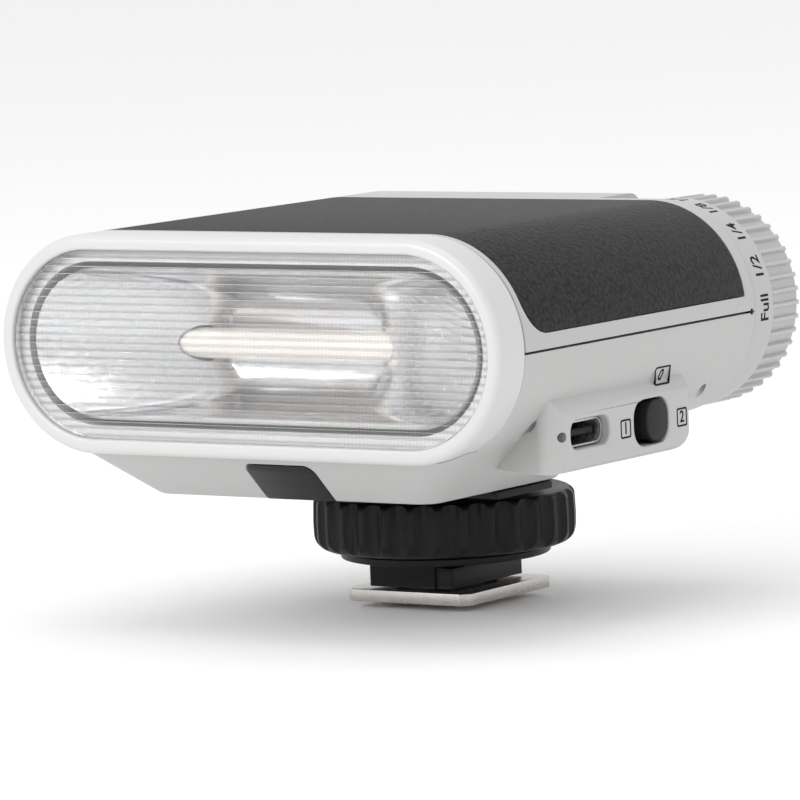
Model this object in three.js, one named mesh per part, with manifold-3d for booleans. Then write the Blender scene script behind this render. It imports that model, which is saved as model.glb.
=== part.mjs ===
// A pocket speedlight flash with a round-ended head, a power dial and a hot-shoe foot.
// Millimetres, +Z up. The origin is the centre of the foot plate's underside. The lens faces -Y,
// and the side with the console (charging socket and mode switch) is +X.
import * as THREE from "three";
import { mergeVertices } from "three/addons/utils/BufferGeometryUtils.js";
import Module from "manifold-3d";

// ---- Driving dimensions ----
const gap = 0.3; // between neighbouring pieces that don't slide on each other
const wall = 1.6; // casing wall

// Head: a long body whose cross-section is a bar with round ends.
const headWidth = 73.7;
const headHeight = 26.95;
const axisHeight = 35.18; // of the head's centre line above the foot's underside
const frontY = -41.36;
const bezelDepth = 5.3;
const shellBackY = 16;
const rearFaceY = 26;
const rearRounding = 2.8;
const seamHeight = 34.8; // where the top cover meets the lower shell

// Front window.
const bezelFace = 1.9; // width of the flat ring round the lens
const lensInset = 0.45;
const lensThickness = 1.5;
const lensLedge = 1.5;
const bezelRounding = 0.9;
const spigotReach = 2.4; // of the bezel into the shells
const reflectorDepth = 12;
const reflectorWall = 0.6;
const reflectorSlotWidth = 25; // of the reflector at its back, round the tube
const reflectorSlotHeight = 8.4;
const tubeRadius = 1.9;
const tubeBehindGap = 1; // between the tube and the reflector's back
const capThickness = 1.2;
const capGrip = 1.3; // length of tube inside each cap
const capOverhang = 1.4; // of each cap past the tube's end

// Leather-look covering on the top cover.
const leatherThickness = 0.6;
const leatherFrontY = -34.8;
const leatherBackY = 13.7;
const leatherLowZ = 36.95;
const leatherCorner = 4;

// Pedestal under the head: sides and chin lean outwards on the way up.
const pedestalFloor = 16;
const pedestalFrontY = -33;
const pedestalShoulderY = -6;
const pedestalNose = 13;
const pedestalCorner = 2.5;
const pedestalSetIn = 2.775; // of its sides from the centres of the head's ends
const pedestalRise = 2.9; // of its top into the head
const leanBack = 0.053; // keeps the sides just inside the tangents to the head's ends
const chinLean = 1.05; // forward mm per mm of height
const floorThickness = 2;

// Black window in the chin, in front of the slave sensor.
const windowLeft = -3.2;
const windowRight = 6.7;
const windowTop = 20.75;
const windowThickness = 0.6;
const windowDepth = 2.5; // behind the chin's lowest edge
const windowCorner = 1.2;
const sensorRadius = 1.8;

// Console on the +X side.
const consoleSetIn = 0.55; // of its face from the head's widest line
const consoleFrontY = -30;
const consoleBackY = 1;
const consoleLowZ = 19.6;
const consoleHighZ = 26.8;
const consoleWall = 1.2;
const consoleSweep = 22; // degrees that its front wall leans back
const consoleSlope = 3.4; // height of the slope above its face
const consoleRootX = 20; // where it starts, inside the pedestal
const consoleCorner = 4;
const socketY = -21.6;
const socketZ = 23.95;
const socketWidth = 8.6;
const socketHeight = 3.5;
const socketRecess = 1.1; // of the metal shell behind the console's face
const socketDepth = 6.8;
const socketBackWall = 0.6;
const shellMetal = 0.28;
const tongueWidth = 6.2;
const tongueThickness = 0.7;
const openingDepth = 4; // of the console's holes behind its face
const switchY = -7.9;
const switchZ = 23.75;
const switchSlotWidth = 8;
const switchSlotHeight = 5.7;
const switchTravel = 3;
const switchSlotCorner = 2.3;
const switchBodyDepth = 5;
const switchBodySetBack = 3.3; // of its front behind the console's face
const leverWidth = 1.6;
const leverReach = 1.5; // into the switch body
const knobProud = 0.25;
const ledY = -27.6;
const ledZ = 24;
const ledRadius = 0.55;

// Power dial, on the axis of the head's right end.
const dialSetIn = 0.3; // of the dial's rim from the head's outline
const dialFrontY = 16.4;
const dialBandBackY = 20.9;
const dialBackY = 27.5;
const ribHeight = 0.55;
const dialRibs = 46;
const dialShaftRadius = 3;
const dialRim = 1.5;
const pocketWallX = 14.5;
const pocketClearance = 0.6;
const plugReach = 2.6; // of the rear cover into the shells
const rotarySwitchWidth = 12;
const rotarySwitchDepth = 7;
const shaftGrip = 5; // length of shaft inside the rotary switch

// Rear button and lamp.
const buttonX = -16;
const buttonRadius = 3.6;
const buttonTravel = 0.4;
const buttonDepth = 3.4;
const buttonProud = 0.9;
const buttonCollar = 1;
const testSwitchDepth = 3.1;
const testSwitchHalfWidth = 3;
const plungerRadius = 1.7;
const readyLedX = -4;
const readyLedRadius = 1.1;

// Hot-shoe mount.
const footWidth = 18.6;
const footLength = 18.8;
const footThickness = 1.55;
const footCorner = 1.2;
const neckHalfWidth = 6.2;
const neckHalfLength = 8.3;
const neckNotchX = 3.8; // right of this line the neck is cut lower, as a step
const stemRadius = 11;
const stemLowZ = 7.8;
const flangeThickness = 0.85;
const flangeFrontY = -18;
const wheelRadius = 16.5;
const wheelFlutes = 30;
const fluteDepth = 0.8;
const wheelLowZ = 6.35;
const wheelHeight = 6.8;
const clampRadius = 13.2;
const clampThickness = 0.9;
const pinRadius = 1;
const pinReach = 0.8;
const insulatorRadius = 3.2;
const collarWidth = 0.35;
const springRadius = 1.15;
const springWire = 0.2;
const springLowZ = 3.9;
const springHighZ = 8.7;
const springTurns = 5;

// Screws.
const screwRadius = 0.9;
const screwHeadRadius = 1.8;
const footScrewHeadRadius = 1.6;
const footScrewHeadHeight = 0.8;
const caseScrewHeadHeight = 1.5;
const caseScrewHeadZ = 27;
const caseScrewLength = 12;
const mountScrewHeadHeight = 1.4;
const mountScrewLength = 8;
const columnRadius = 3.2;
const mountScrewOffset = 5.5;
const footScrewX = 3;
const footScrewY = 5.6;

// Electronics.
const boardThickness = 1.2;
const boardDrop = 2.38; // of the main board's top below the head's axis
const boardFrontY = -23.6;
const boardBackY = 5;
const boardSideGap = 2; // past the centres of the head's ends
const thinBoard = 0.8;
const capacitorHeadroom = 0.62;
const capacitorY = -15.4;
const batteryHeadroom = 4.35;
const transformerHeadroom = 5.75;

// ---- Sizes that follow from them ----
const coverWall = wall + leatherThickness;
const endRadius = headHeight / 2;
const endCentreX = headWidth / 2 - endRadius;
const ceilingZ = axisHeight + endRadius - coverWall;
const bezelBackY = frontY + bezelDepth;
const shellFrontY = bezelBackY + gap;
const lensFrontY = frontY + lensInset;
const lensBackY = lensFrontY + lensThickness;
const ledgeInset = bezelFace + lensLedge;
const reflectorFrontY = lensBackY + 2 * gap;
const reflectorBackY = reflectorFrontY + reflectorDepth;
const tubeY = reflectorBackY - reflectorWall - tubeRadius - tubeBehindGap;
const bowlHalfWidth = headWidth / 2 - ledgeInset - gap;
const bowlHalfHeight = endRadius - ledgeInset - gap;
const slotWidthShare = reflectorSlotWidth / 2 / bowlHalfWidth;
const slotHeightShare = reflectorSlotHeight / 2 / bowlHalfHeight;
const capFrontY = tubeY - tubeRadius - capThickness;
const capOpen = (reflectorBackY - capFrontY) / reflectorDepth;
const tubeLength = 2 * (bowlHalfWidth * bowlWidening(capOpen) + 2 * gap + capGrip);
const pedestalHalfWidth = endCentreX - pedestalSetIn;
const pedestalTop = axisHeight - endRadius + pedestalRise;
const axisRise = axisHeight - pedestalFloor;
const tangentLean =
  Math.atan2(pedestalSetIn, axisRise) + Math.asin(endRadius / Math.hypot(pedestalSetIn, axisRise));
const sideLean = Math.tan(tangentLean) - leanBack; // outward mm per mm of height
const windowCentreX = (windowLeft + windowRight) / 2;
const sensorZ = (pedestalFloor + windowTop) / 2;
const consoleFaceX = headWidth / 2 - consoleSetIn;
const dialRadius = endRadius - dialSetIn;
const dialRootRadius = dialRadius - ribHeight;
const plugFrontY = shellBackY - plugReach;
const rotarySwitchBackY = plugFrontY - gap;
const buttonFrontY = rearFaceY - buttonDepth;
const testSwitchBackY = buttonFrontY - gap - buttonTravel;
const rearBoardBackY = testSwitchBackY - testSwitchDepth - gap;
const flangeTopZ = pedestalFloor - gap;
const flangeLowZ = flangeTopZ - flangeThickness;
const neckLowZ = footThickness + gap;
const wheelBoreRadius = stemRadius + gap;
const clampLowZ = wheelLowZ - gap - clampThickness;
const boardTopZ = axisHeight - boardDrop;
const boardLowZ = boardTopZ - boardThickness;
const partsLowZ = boardTopZ + gap;
const capacitorRadius = (ceilingZ - boardTopZ) / 2 - capacitorHeadroom;
const sideBoardTopZ = socketZ - (socketHeight + gap) / 2;
const socketFaceX = consoleFaceX - socketRecess;
const socketBackX = socketFaceX - socketDepth;
const switchFaceX = consoleFaceX - switchBodySetBack;
const knobWidth = switchSlotWidth - switchTravel - gap;
const knobY = switchY + switchTravel / 2;
const corners = [[1, 1], [-1, 1], [-1, -1], [1, -1]];
const mountScrewSpots = corners.map(([x, y]) => [x * mountScrewOffset, y * mountScrewOffset]);
const footScrewSpots = corners.map(([x, y]) => [x * footScrewX, y * footScrewY]);
const caseScrewSpots = [
  [-endCentreX - 5.6, -20.5],
  [-endCentreX - 5.6, 9.5],
  [endCentreX - 6.9, -20.5],
  [endCentreX - 10.9, 10],
];
const farAway = 60; // longer than the object, for tools that cut right through

// ---- Facets ----
const headArcSteps = 12; // on each round end of the head
const cornerSteps = 4; // on small rounded corners
const roundSides = 20;
const smallSides = 12; // on holes and screws

// ---- Solids: three.js geometry turned into closed bodies that can be joined and cut ----
const wasm = await Module();
wasm.setup();

function solid(geometry) {
  const loose = geometry.index ? geometry.toNonIndexed() : geometry.clone();
  loose.deleteAttribute("normal");
  loose.deleteAttribute("uv");
  const welded = mergeVertices(loose, 1e-4);
  return new wasm.Manifold(
    new wasm.Mesh({
      numProp: 3,
      vertProperties: new Float32Array(welded.attributes.position.array),
      triVerts: new Uint32Array(welded.index.array),
    }),
  );
}

function geometryOf(body) {
  const mesh = body.getMesh();
  const geometry = new THREE.BufferGeometry();
  geometry.setAttribute("position", new THREE.BufferAttribute(mesh.vertProperties, 3));
  geometry.setIndex(new THREE.BufferAttribute(mesh.triVerts, 1));
  geometry.computeVertexNormals();
  return geometry;
}

function piece(name, shape, color, roughness, metalness) {
  const geometry = shape.isBufferGeometry ? shape : geometryOf(shape);
  const material = new THREE.MeshStandardMaterial({ color, roughness, metalness });
  const mesh = new THREE.Mesh(geometry, material);
  mesh.name = name;
  return mesh;
}

function assembly(...children) {
  const group = new THREE.Group();
  group.add(...children);
  return group;
}

// Prisms whose outline is drawn in the (x, z), (x, y) or (y, z) plane.
function alongY(outline, front, back, curveSegments = headArcSteps) {
  const geometry = new THREE.ExtrudeGeometry(outline, {
    depth: back - front,
    bevelEnabled: false,
    curveSegments,
  });
  return solid(geometry.rotateX(Math.PI / 2).translate(0, back, 0));
}

function alongZ(outline, low, high, curveSegments = cornerSteps) {
  const geometry = new THREE.ExtrudeGeometry(outline, {
    depth: high - low,
    bevelEnabled: false,
    curveSegments,
  });
  return solid(geometry.translate(0, 0, low));
}

function alongX(outline, left, right, curveSegments = cornerSteps) {
  const geometry = new THREE.ExtrudeGeometry(outline, {
    depth: right - left,
    bevelEnabled: false,
    curveSegments,
  });
  const turn = new THREE.Matrix4().makeBasis(
    new THREE.Vector3(0, 1, 0),
    new THREE.Vector3(0, 0, 1),
    new THREE.Vector3(1, 0, 0),
  );
  return solid(geometry.applyMatrix4(turn).translate(left, 0, 0));
}

// Round rods along each axis.
function rodX(radius, left, right, y, z, sides = roundSides) {
  const geometry = new THREE.CylinderGeometry(radius, radius, right - left, sides);
  return solid(geometry.rotateZ(Math.PI / 2).translate((left + right) / 2, y, z));
}

function rodY(radius, front, back, x, z, sides = roundSides) {
  const geometry = new THREE.CylinderGeometry(radius, radius, back - front, sides);
  return solid(geometry.translate(x, (front + back) / 2, z));
}

function rodZ(radius, low, high, x, y, sides = roundSides) {
  const geometry = new THREE.CylinderGeometry(radius, radius, high - low, sides);
  return solid(geometry.rotateX(Math.PI / 2).translate(x, y, (low + high) / 2));
}

function block(left, right, front, back, low, high) {
  const geometry = new THREE.BoxGeometry(right - left, back - front, high - low);
  return solid(geometry.translate((left + right) / 2, (front + back) / 2, (low + high) / 2));
}

// A body of revolution about +Z, from (radius, height) pairs that start and end on the axis.
function turned(pairs, sides) {
  const points = pairs.map(([radius, height]) => new THREE.Vector2(radius, height));
  return new THREE.LatheGeometry(points, sides).rotateX(Math.PI / 2);
}

function roundedRectangle(left, right, low, high, radius) {
  const shape = new THREE.Shape();
  shape.moveTo(left + radius, low);
  shape.lineTo(right - radius, low);
  shape.absarc(right - radius, low + radius, radius, -Math.PI / 2, 0, false);
  shape.absarc(right - radius, high - radius, radius, 0, Math.PI / 2, false);
  shape.absarc(left + radius, high - radius, radius, Math.PI / 2, Math.PI, false);
  shape.absarc(left + radius, low + radius, radius, Math.PI, 1.5 * Math.PI, false);
  return shape;
}

// The head's cross-section, shrunk by an inset on every side.
function headOutline(inset = 0) {
  const radius = endRadius - inset;
  const shape = new THREE.Shape();
  shape.absarc(endCentreX, axisHeight, radius, -Math.PI / 2, Math.PI / 2, false);
  shape.absarc(-endCentreX, axisHeight, radius, Math.PI / 2, 1.5 * Math.PI, false);
  return shape;
}

// ---- Front window and flash tube ----
function frontBezel() {
  const geometry = new THREE.ExtrudeGeometry(headOutline(), {
    depth: bezelDepth,
    bevelThickness: bezelRounding,
    bevelSize: bezelRounding,
    bevelOffset: -bezelRounding,
    bevelSegments: 3,
    curveSegments: headArcSteps,
  });
  geometry.rotateX(Math.PI / 2).translate(0, bezelBackY + bezelRounding, 0);
  const spigot = alongY(headOutline(coverWall + gap), bezelBackY - 1, bezelBackY + spigotReach);
  const body = solid(geometry)
    .intersect(block(-farAway, farAway, frontY - 1, bezelBackY, 0, farAway))
    .add(spigot)
    .subtract(alongY(headOutline(bezelFace), frontY - 1, lensBackY + gap))
    .subtract(alongY(headOutline(ledgeInset), lensBackY, bezelBackY + 3));
  return piece("front_bezel", body, 0xe4e4e2, 0.42, 0);
}

function fresnelLens() {
  const body = alongY(headOutline(bezelFace + gap / 2), lensFrontY, lensBackY);
  return piece("fresnel_lens", body, 0xf2f4f5, 0.08, 0);
}

// The bowl's share of its full width and height, from its slot at the back (0) to its front (1).
function bowlWidening(open) {
  return slotWidthShare + (1 - slotWidthShare) * open ** 2;
}

function bowlRise(open) {
  return slotHeightShare + (1 - slotHeightShare) * Math.sqrt(open);
}

// A bowl whose long sides curve as a parabola does, with its ends flaring out to the front.
function reflectorBowl(inset) {
  const depth = reflectorDepth - inset;
  const geometry = new THREE.ExtrudeGeometry(headOutline(ledgeInset + gap + inset), {
    depth,
    bevelEnabled: false,
    steps: 6,
    curveSegments: 6,
  });
  geometry.translate(0, -axisHeight, 0);
  const position = geometry.attributes.position;
  for (let i = 0; i < position.count; i++) {
    const open = position.getZ(i) / depth;
    position.setX(i, position.getX(i) * bowlWidening(open));
    position.setY(i, position.getY(i) * bowlRise(open));
  }
  geometry.rotateX(Math.PI / 2);
  return solid(geometry.translate(0, reflectorFrontY + depth, axisHeight));
}

function reflector() {
  const tubeHole = rodX(tubeRadius + gap, -farAway, farAway, tubeY, axisHeight);
  const mouth = alongY(headOutline(ledgeInset + gap + reflectorWall), reflectorFrontY - 1,
    reflectorFrontY + 0.05, 6);
  const body = reflectorBowl(0)
    .subtract(reflectorBowl(reflectorWall))
    .subtract(mouth)
    .subtract(tubeHole);
  return piece("reflector", body, 0xd9dadb, 0.12, 1);
}

function xenonTube() {
  const body = rodX(tubeRadius, -tubeLength / 2, tubeLength / 2, tubeY, axisHeight);
  return piece("xenon_tube", body, 0xf3efe6, 0.05, 0);
}

function tubeCap(name, side) {
  const inner = tubeLength / 2 - capGrip;
  const outer = tubeLength / 2 + capOverhang;
  const [left, right] = side > 0 ? [inner, outer] : [-outer, -inner];
  const base = capOverhang - gap - 0.2;
  const [boreLeft, boreRight] = side > 0 ? [left - 1, right - base] : [left + base, right + 1];
  const body = rodX(tubeRadius + capThickness, left, right, tubeY, axisHeight).subtract(
    rodX(tubeRadius + gap, boreLeft, boreRight, tubeY, axisHeight),
  );
  return piece(name, body, 0xb8b3a8, 0.7, 0);
}

// ---- Casing ----
// The pedestal's plan: rounded front corners, straight sides, then a taper to a round nose
// about the foot's axis.
function pedestalPlan(inset) {
  const halfWidth = pedestalHalfWidth - inset;
  const front = pedestalFrontY + inset;
  const nose = pedestalNose - inset;
  const corner = pedestalCorner;
  const toShoulder = Math.hypot(halfWidth, pedestalShoulderY);
  const tangent = Math.atan2(pedestalShoulderY, halfWidth) + Math.acos(nose / toShoulder);
  const shape = new THREE.Shape();
  shape.absarc(halfWidth - corner, front + corner, corner, -Math.PI / 2, 0, false);
  shape.lineTo(halfWidth, pedestalShoulderY);
  shape.absarc(0, 0, nose, tangent, Math.PI - tangent, false);
  shape.lineTo(-halfWidth, pedestalShoulderY);
  shape.absarc(-halfWidth + corner, front + corner, corner, Math.PI, 1.5 * Math.PI, false);
  return shape;
}

function pedestal(inset, low = pedestalFloor) {
  const geometry = new THREE.ExtrudeGeometry(pedestalPlan(inset), {
    depth: pedestalTop - low,
    bevelEnabled: false,
    curveSegments: 7,
  });
  const widthGain = sideLean / pedestalHalfWidth;
  const lengthGain = chinLean / (pedestalShoulderY - pedestalFrontY);
  const position = geometry.attributes.position;
  for (let i = 0; i < position.count; i++) {
    const climb = position.getZ(i) + low - pedestalFloor;
    const ahead = Math.min(position.getY(i) - pedestalShoulderY, 0);
    position.setX(i, position.getX(i) * (1 + widthGain * climb));
    position.setY(i, position.getY(i) + ahead * lengthGain * climb);
  }
  return solid(geometry.translate(0, 0, low));
}

function consoleBlock(inset, floorInset) {
  const face = consoleFaceX - inset;
  const low = consoleLowZ + floorInset;
  const back = consoleBackY - inset;
  const top = consoleHighZ + consoleSlope - inset;
  const profile = new THREE.Shape();
  profile.moveTo(consoleRootX, low);
  profile.lineTo(face - 1, low);
  profile.absarc(face - 1, low + 1, 1, -Math.PI / 2, 0, false);
  profile.lineTo(face, consoleHighZ);
  profile.lineTo(face - 1, top);
  profile.lineTo(consoleRootX, top);
  const sideView = roundedRectangle(-farAway, back, low, farAway, consoleCorner);
  const sweep = Math.tan(THREE.MathUtils.degToRad(consoleSweep));
  const front = consoleFrontY + inset * Math.hypot(1, sweep);
  const plan = new THREE.Shape();
  plan.moveTo(consoleRootX, front + (face - consoleRootX) * sweep);
  plan.lineTo(face - 1.2, front + 1.2 * sweep);
  plan.lineTo(face - 0.3, front + 0.55);
  plan.lineTo(face, front + 1.4);
  plan.lineTo(face, back);
  plan.lineTo(consoleRootX, back);
  return alongY(profile, -farAway, farAway, cornerSteps)
    .intersect(alongX(sideView, 0, farAway, 5))
    .intersect(alongZ(plan, 0, farAway));
}

function windowOutline(clearance) {
  return roundedRectangle(
    windowLeft - clearance,
    windowRight + clearance,
    pedestalFloor - 3,
    windowTop + clearance,
    windowCorner,
  );
}

function sensorBore(clearance, back) {
  return rodY(sensorRadius + clearance, -farAway, back, windowCentreX, sensorZ);
}

function chinSlab(inset, clearance) {
  return pedestal(-1)
    .subtract(pedestal(inset, pedestalFloor - 1))
    .intersect(alongY(windowOutline(clearance), -farAway, pedestalFrontY + windowDepth));
}

function envelope() {
  return alongY(headOutline(), shellFrontY, shellBackY)
    .add(pedestal(0))
    .add(consoleBlock(0, 0));
}

function socketOpening() {
  const outline = roundedRectangle(
    socketY - socketWidth / 2,
    socketY + socketWidth / 2,
    socketZ - socketHeight / 2,
    socketZ + socketHeight / 2,
    socketHeight / 2 - 0.35,
  );
  return alongX(outline, socketBackX - gap, consoleFaceX + 1);
}

function switchOpening() {
  const outline = roundedRectangle(
    switchY - switchSlotWidth / 2,
    switchY + switchSlotWidth / 2,
    switchZ - switchSlotHeight / 2,
    switchZ + switchSlotHeight / 2,
    switchSlotCorner,
  );
  return alongX(outline, consoleFaceX - openingDepth, consoleFaceX + 1);
}

// Screw columns: the lower half takes the head, and the upper half takes the thread.
function columns(radius, low, high) {
  return caseScrewSpots
    .map(([x, y]) => rodZ(radius, low, high, x, y, smallSides))
    .reduce((all, rod) => all.add(rod));
}

function lowerShell() {
  const hollow = alongY(headOutline(wall), shellFrontY - 1, shellBackY + 1)
    .add(
      pedestal(wall, pedestalFloor + floorThickness).intersect(
        block(-farAway, farAway, shellFrontY + 1, farAway, 0, farAway),
      ),
    )
    .add(consoleBlock(wall, consoleWall));
  const mountHoles = mountScrewSpots
    .map(([x, y]) => rodZ(screwRadius + gap, 0, pedestalFloor + 3, x, y, smallSides))
    .reduce((all, rod) => all.add(rod));
  const body = envelope()
    .subtract(hollow)
    .add(columns(columnRadius, pedestalFloor, seamHeight).intersect(envelope()))
    .subtract(columns(screwHeadRadius + gap, 0, caseScrewHeadZ))
    .subtract(columns(screwRadius + gap, 0, farAway))
    .subtract(alongY(headOutline(-gap), -farAway, shellFrontY))
    .subtract(block(-farAway, farAway, -farAway, farAway, seamHeight - gap / 2, farAway))
    .subtract(chinSlab(windowThickness + gap, gap / 2))
    .subtract(sensorBore(gap, pedestalFrontY + windowDepth + 0.5))
    .subtract(socketOpening())
    .subtract(switchOpening())
    .subtract(rodX(ledRadius + gap, consoleFaceX - openingDepth, farAway, ledY, ledZ, smallSides))
    .subtract(mountHoles)
    .subtract(rodZ(pinRadius + 2 * gap, 0, pedestalFloor + 3, 0, 0, smallSides));
  return piece("lower_shell", body, 0xc9c9c7, 0.45, 0.1);
}

function leatherOutline(clearance) {
  const front = leatherFrontY - clearance;
  const back = leatherBackY + clearance;
  const low = leatherLowZ - clearance;
  const corner = leatherCorner + clearance;
  const shape = new THREE.Shape();
  shape.moveTo(back, low);
  shape.lineTo(back, farAway);
  shape.lineTo(front, farAway);
  shape.absarc(front + corner, low + corner, corner, Math.PI, 1.5 * Math.PI, false);
  return shape;
}

function leatherLayer(depth, clearance, over) {
  return alongY(headOutline(-over), leatherFrontY - 2, leatherBackY + 2)
    .subtract(alongY(headOutline(depth), leatherFrontY - 3, leatherBackY + 3))
    .intersect(alongX(leatherOutline(clearance), -farAway, farAway));
}

function topCover() {
  const posts = columns(columnRadius - 0.7, seamHeight, axisHeight + endRadius).intersect(
    alongY(headOutline(wall / 2), shellFrontY, shellBackY),
  );
  const body = alongY(headOutline(), shellFrontY, shellBackY)
    .subtract(leatherLayer(leatherThickness + gap, gap / 2, 1))
    .subtract(alongY(headOutline(coverWall), shellFrontY - 1, shellBackY + 1))
    .add(posts)
    .subtract(columns(screwRadius + gap, 0, caseScrewHeadZ + caseScrewLength + 1))
    .subtract(block(-farAway, farAway, -farAway, farAway, 0, seamHeight + gap / 2));
  return piece("top_cover", body, 0xcfcfcd, 0.45, 0.1);
}

function topLeather() {
  return piece("top_leather", leatherLayer(leatherThickness, 0, 0), 0x2c2c2d, 0.75, 0);
}

// The rear cover closes the shells with a plate and carries the pocket for the dial.
function rearCover() {
  const geometry = new THREE.ExtrudeGeometry(headOutline(), {
    depth: rearFaceY - shellBackY,
    bevelThickness: rearRounding,
    bevelSize: rearRounding,
    bevelOffset: -rearRounding,
    bevelSegments: 4,
    curveSegments: headArcSteps,
  });
  geometry.rotateX(Math.PI / 2).translate(0, rearFaceY - rearRounding, 0);
  const coverFrontY = shellBackY + gap;
  const pocketRadius = dialRadius + pocketClearance;
  const pocketFloorY = dialFrontY - gap;
  const right = block(pocketWallX, farAway, pocketFloorY, farAway, 0, farAway);
  const pocket = rodY(pocketRadius, pocketFloorY, farAway, endCentreX, axisHeight, 36);
  const hollowRight = endCentreX - pocketRadius - wall;
  const hollow = alongY(headOutline(coverWall + wall), -farAway, rearFaceY - wall)
    .intersect(block(-farAway, hollowRight, plugFrontY - 1, farAway, 0, farAway));
  const body = solid(geometry)
    .intersect(block(-farAway, farAway, coverFrontY, farAway, 0, farAway))
    .add(alongY(headOutline(coverWall + gap), plugFrontY, coverFrontY + 1))
    .subtract(right)
    .subtract(pocket)
    .subtract(hollow)
    .subtract(rodY(dialShaftRadius + gap, 0, farAway, endCentreX, axisHeight))
    .subtract(rodY(buttonRadius + gap, 0, farAway, buttonX, axisHeight))
    .subtract(rodY(readyLedRadius + gap, 0, farAway, readyLedX, axisHeight));
  return piece("rear_cover", body, 0xc9c9c7, 0.45, 0.1);
}

function sensorWindow() {
  const body = chinSlab(windowThickness, 0)
    .intersect(pedestal(0))
    .subtract(alongY(headOutline(-gap), -farAway, shellFrontY));
  return piece("sensor_window", body, 0x1d1d1f, 0.2, 0);
}

function photoSensor() {
  const body = sensorBore(0, pedestalFrontY + windowDepth).intersect(
    pedestal(windowThickness + 2 * gap),
  );
  return piece("photo_sensor", body, 0x2a2a30, 0.3, 0);
}

// ---- Rear button and lamp ----
function testButton() {
  const rod = (radius, back) => rodY(radius, buttonFrontY, back, buttonX, axisHeight, 24);
  const body = rod(buttonRadius, rearFaceY + buttonProud).add(
    rod(buttonRadius + buttonCollar, rearFaceY - wall - gap),
  );
  return piece("test_button", body, 0x2b2b2c, 0.5, 0);
}

function testSwitch() {
  const half = testSwitchHalfWidth;
  const front = testSwitchBackY - testSwitchDepth;
  const body = block(buttonX - half, buttonX + half, front, testSwitchBackY - 0.8,
    axisHeight - half, axisHeight + half)
    .add(rodY(plungerRadius, testSwitchBackY - 1, testSwitchBackY, buttonX, axisHeight));
  return piece("test_switch", body, 0x35363a, 0.5, 0.2);
}

function rearBoard() {
  const side = 2 * testSwitchHalfWidth;
  const body = block(buttonX - side - 2, readyLedX + side, rearBoardBackY - thinBoard,
    rearBoardBackY, axisHeight - side, axisHeight + side);
  return piece("rear_board", body, 0x1f5a3a, 0.5, 0);
}

function readyLed() {
  const front = rearBoardBackY + gap;
  const body = rodY(readyLedRadius, front, rearFaceY - 0.1, readyLedX, axisHeight, smallSides);
  return piece("ready_led", body, 0xd24a2a, 0.2, 0);
}

// ---- Console ----
function socketShell() {
  const halfWidth = socketWidth / 2 - gap / 2;
  const halfHeight = socketHeight / 2 - gap / 2;
  const outline = (inset) =>
    roundedRectangle(
      socketY - halfWidth + inset,
      socketY + halfWidth - inset,
      socketZ - halfHeight + inset,
      socketZ + halfHeight - inset,
      halfHeight - inset - 0.15,
    );
  const body = alongX(outline(0), socketBackX, socketFaceX).subtract(
    alongX(outline(shellMetal), socketBackX + socketBackWall, socketFaceX + 1),
  );
  return piece("usb_shell", body, 0xb9bbbd, 0.25, 1);
}

function socketTongue() {
  const body = block(
    socketBackX + socketBackWall + gap,
    socketFaceX - tongueThickness,
    socketY - tongueWidth / 2,
    socketY + tongueWidth / 2,
    socketZ - tongueThickness / 2,
    socketZ + tongueThickness / 2,
  );
  return piece("usb_tongue", body, 0x202022, 0.5, 0);
}

function modeKnob() {
  const cap = roundedRectangle(
    knobY - knobWidth / 2,
    knobY + knobWidth / 2,
    switchZ - switchSlotHeight / 2 + gap,
    switchZ + switchSlotHeight / 2 - gap,
    switchSlotCorner - gap,
  );
  const half = leverWidth / 2;
  const lever = block(switchFaceX - leverReach, switchFaceX + 1, knobY - half, knobY + half,
    switchZ - half, switchZ + half);
  const body = alongX(cap, switchFaceX + gap, consoleFaceX + knobProud).add(lever);
  return piece("mode_knob", body, 0x2d2d2f, 0.5, 0);
}

function modeSwitch() {
  const low = sideBoardTopZ + gap;
  const half = switchSlotWidth / 2;
  const reach = leverWidth / 2 + gap;
  const guide = block(switchFaceX - leverReach - gap, farAway, knobY - reach - switchTravel,
    knobY + reach, switchZ - reach, switchZ + reach);
  const body = block(switchFaceX - switchBodyDepth, switchFaceX, switchY - half, switchY + half,
    low, switchZ + 2.6)
    .subtract(guide);
  return piece("mode_switch", body, 0x6f7174, 0.35, 0.8);
}

function sideBoard() {
  const body = block(switchFaceX - 9.8, switchFaceX, consoleFrontY, consoleBackY,
    sideBoardTopZ - thinBoard, sideBoardTopZ)
    .intersect(consoleBlock(wall + gap, consoleWall + gap));
  return piece("side_board", body, 0x1f5a3a, 0.5, 0);
}

function chargeLed() {
  const body = rodX(ledRadius, switchFaceX + 0.6, consoleFaceX - 0.05, ledY, ledZ, smallSides);
  return piece("charge_led", body, 0x37474f, 0.2, 0);
}

// ---- Electronics ----
function mainBoard() {
  const reach = endCentreX + boardSideGap;
  const body = block(-reach, reach, boardFrontY, boardBackY, boardLowZ, boardTopZ).subtract(
    columns(columnRadius + gap, 0, farAway),
  );
  return piece("main_board", body, 0x1f5a3a, 0.5, 0);
}

function flashCapacitor() {
  const z = partsLowZ + capacitorRadius;
  const body = rodX(capacitorRadius, -endCentreX, endCentreX - 13.7, capacitorY, z, 28);
  return piece("flash_capacitor", body, 0x23242a, 0.35, 0.1);
}

function batteryCell() {
  const front = capacitorY + capacitorRadius + 1.2;
  const outline = roundedRectangle(-endCentreX, endCentreX - 15.8, front, plugFrontY - 1.8, 2);
  const body = alongZ(outline, partsLowZ, ceilingZ - batteryHeadroom);
  return piece("battery_cell", body, 0x8f9499, 0.4, 0.3);
}

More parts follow.
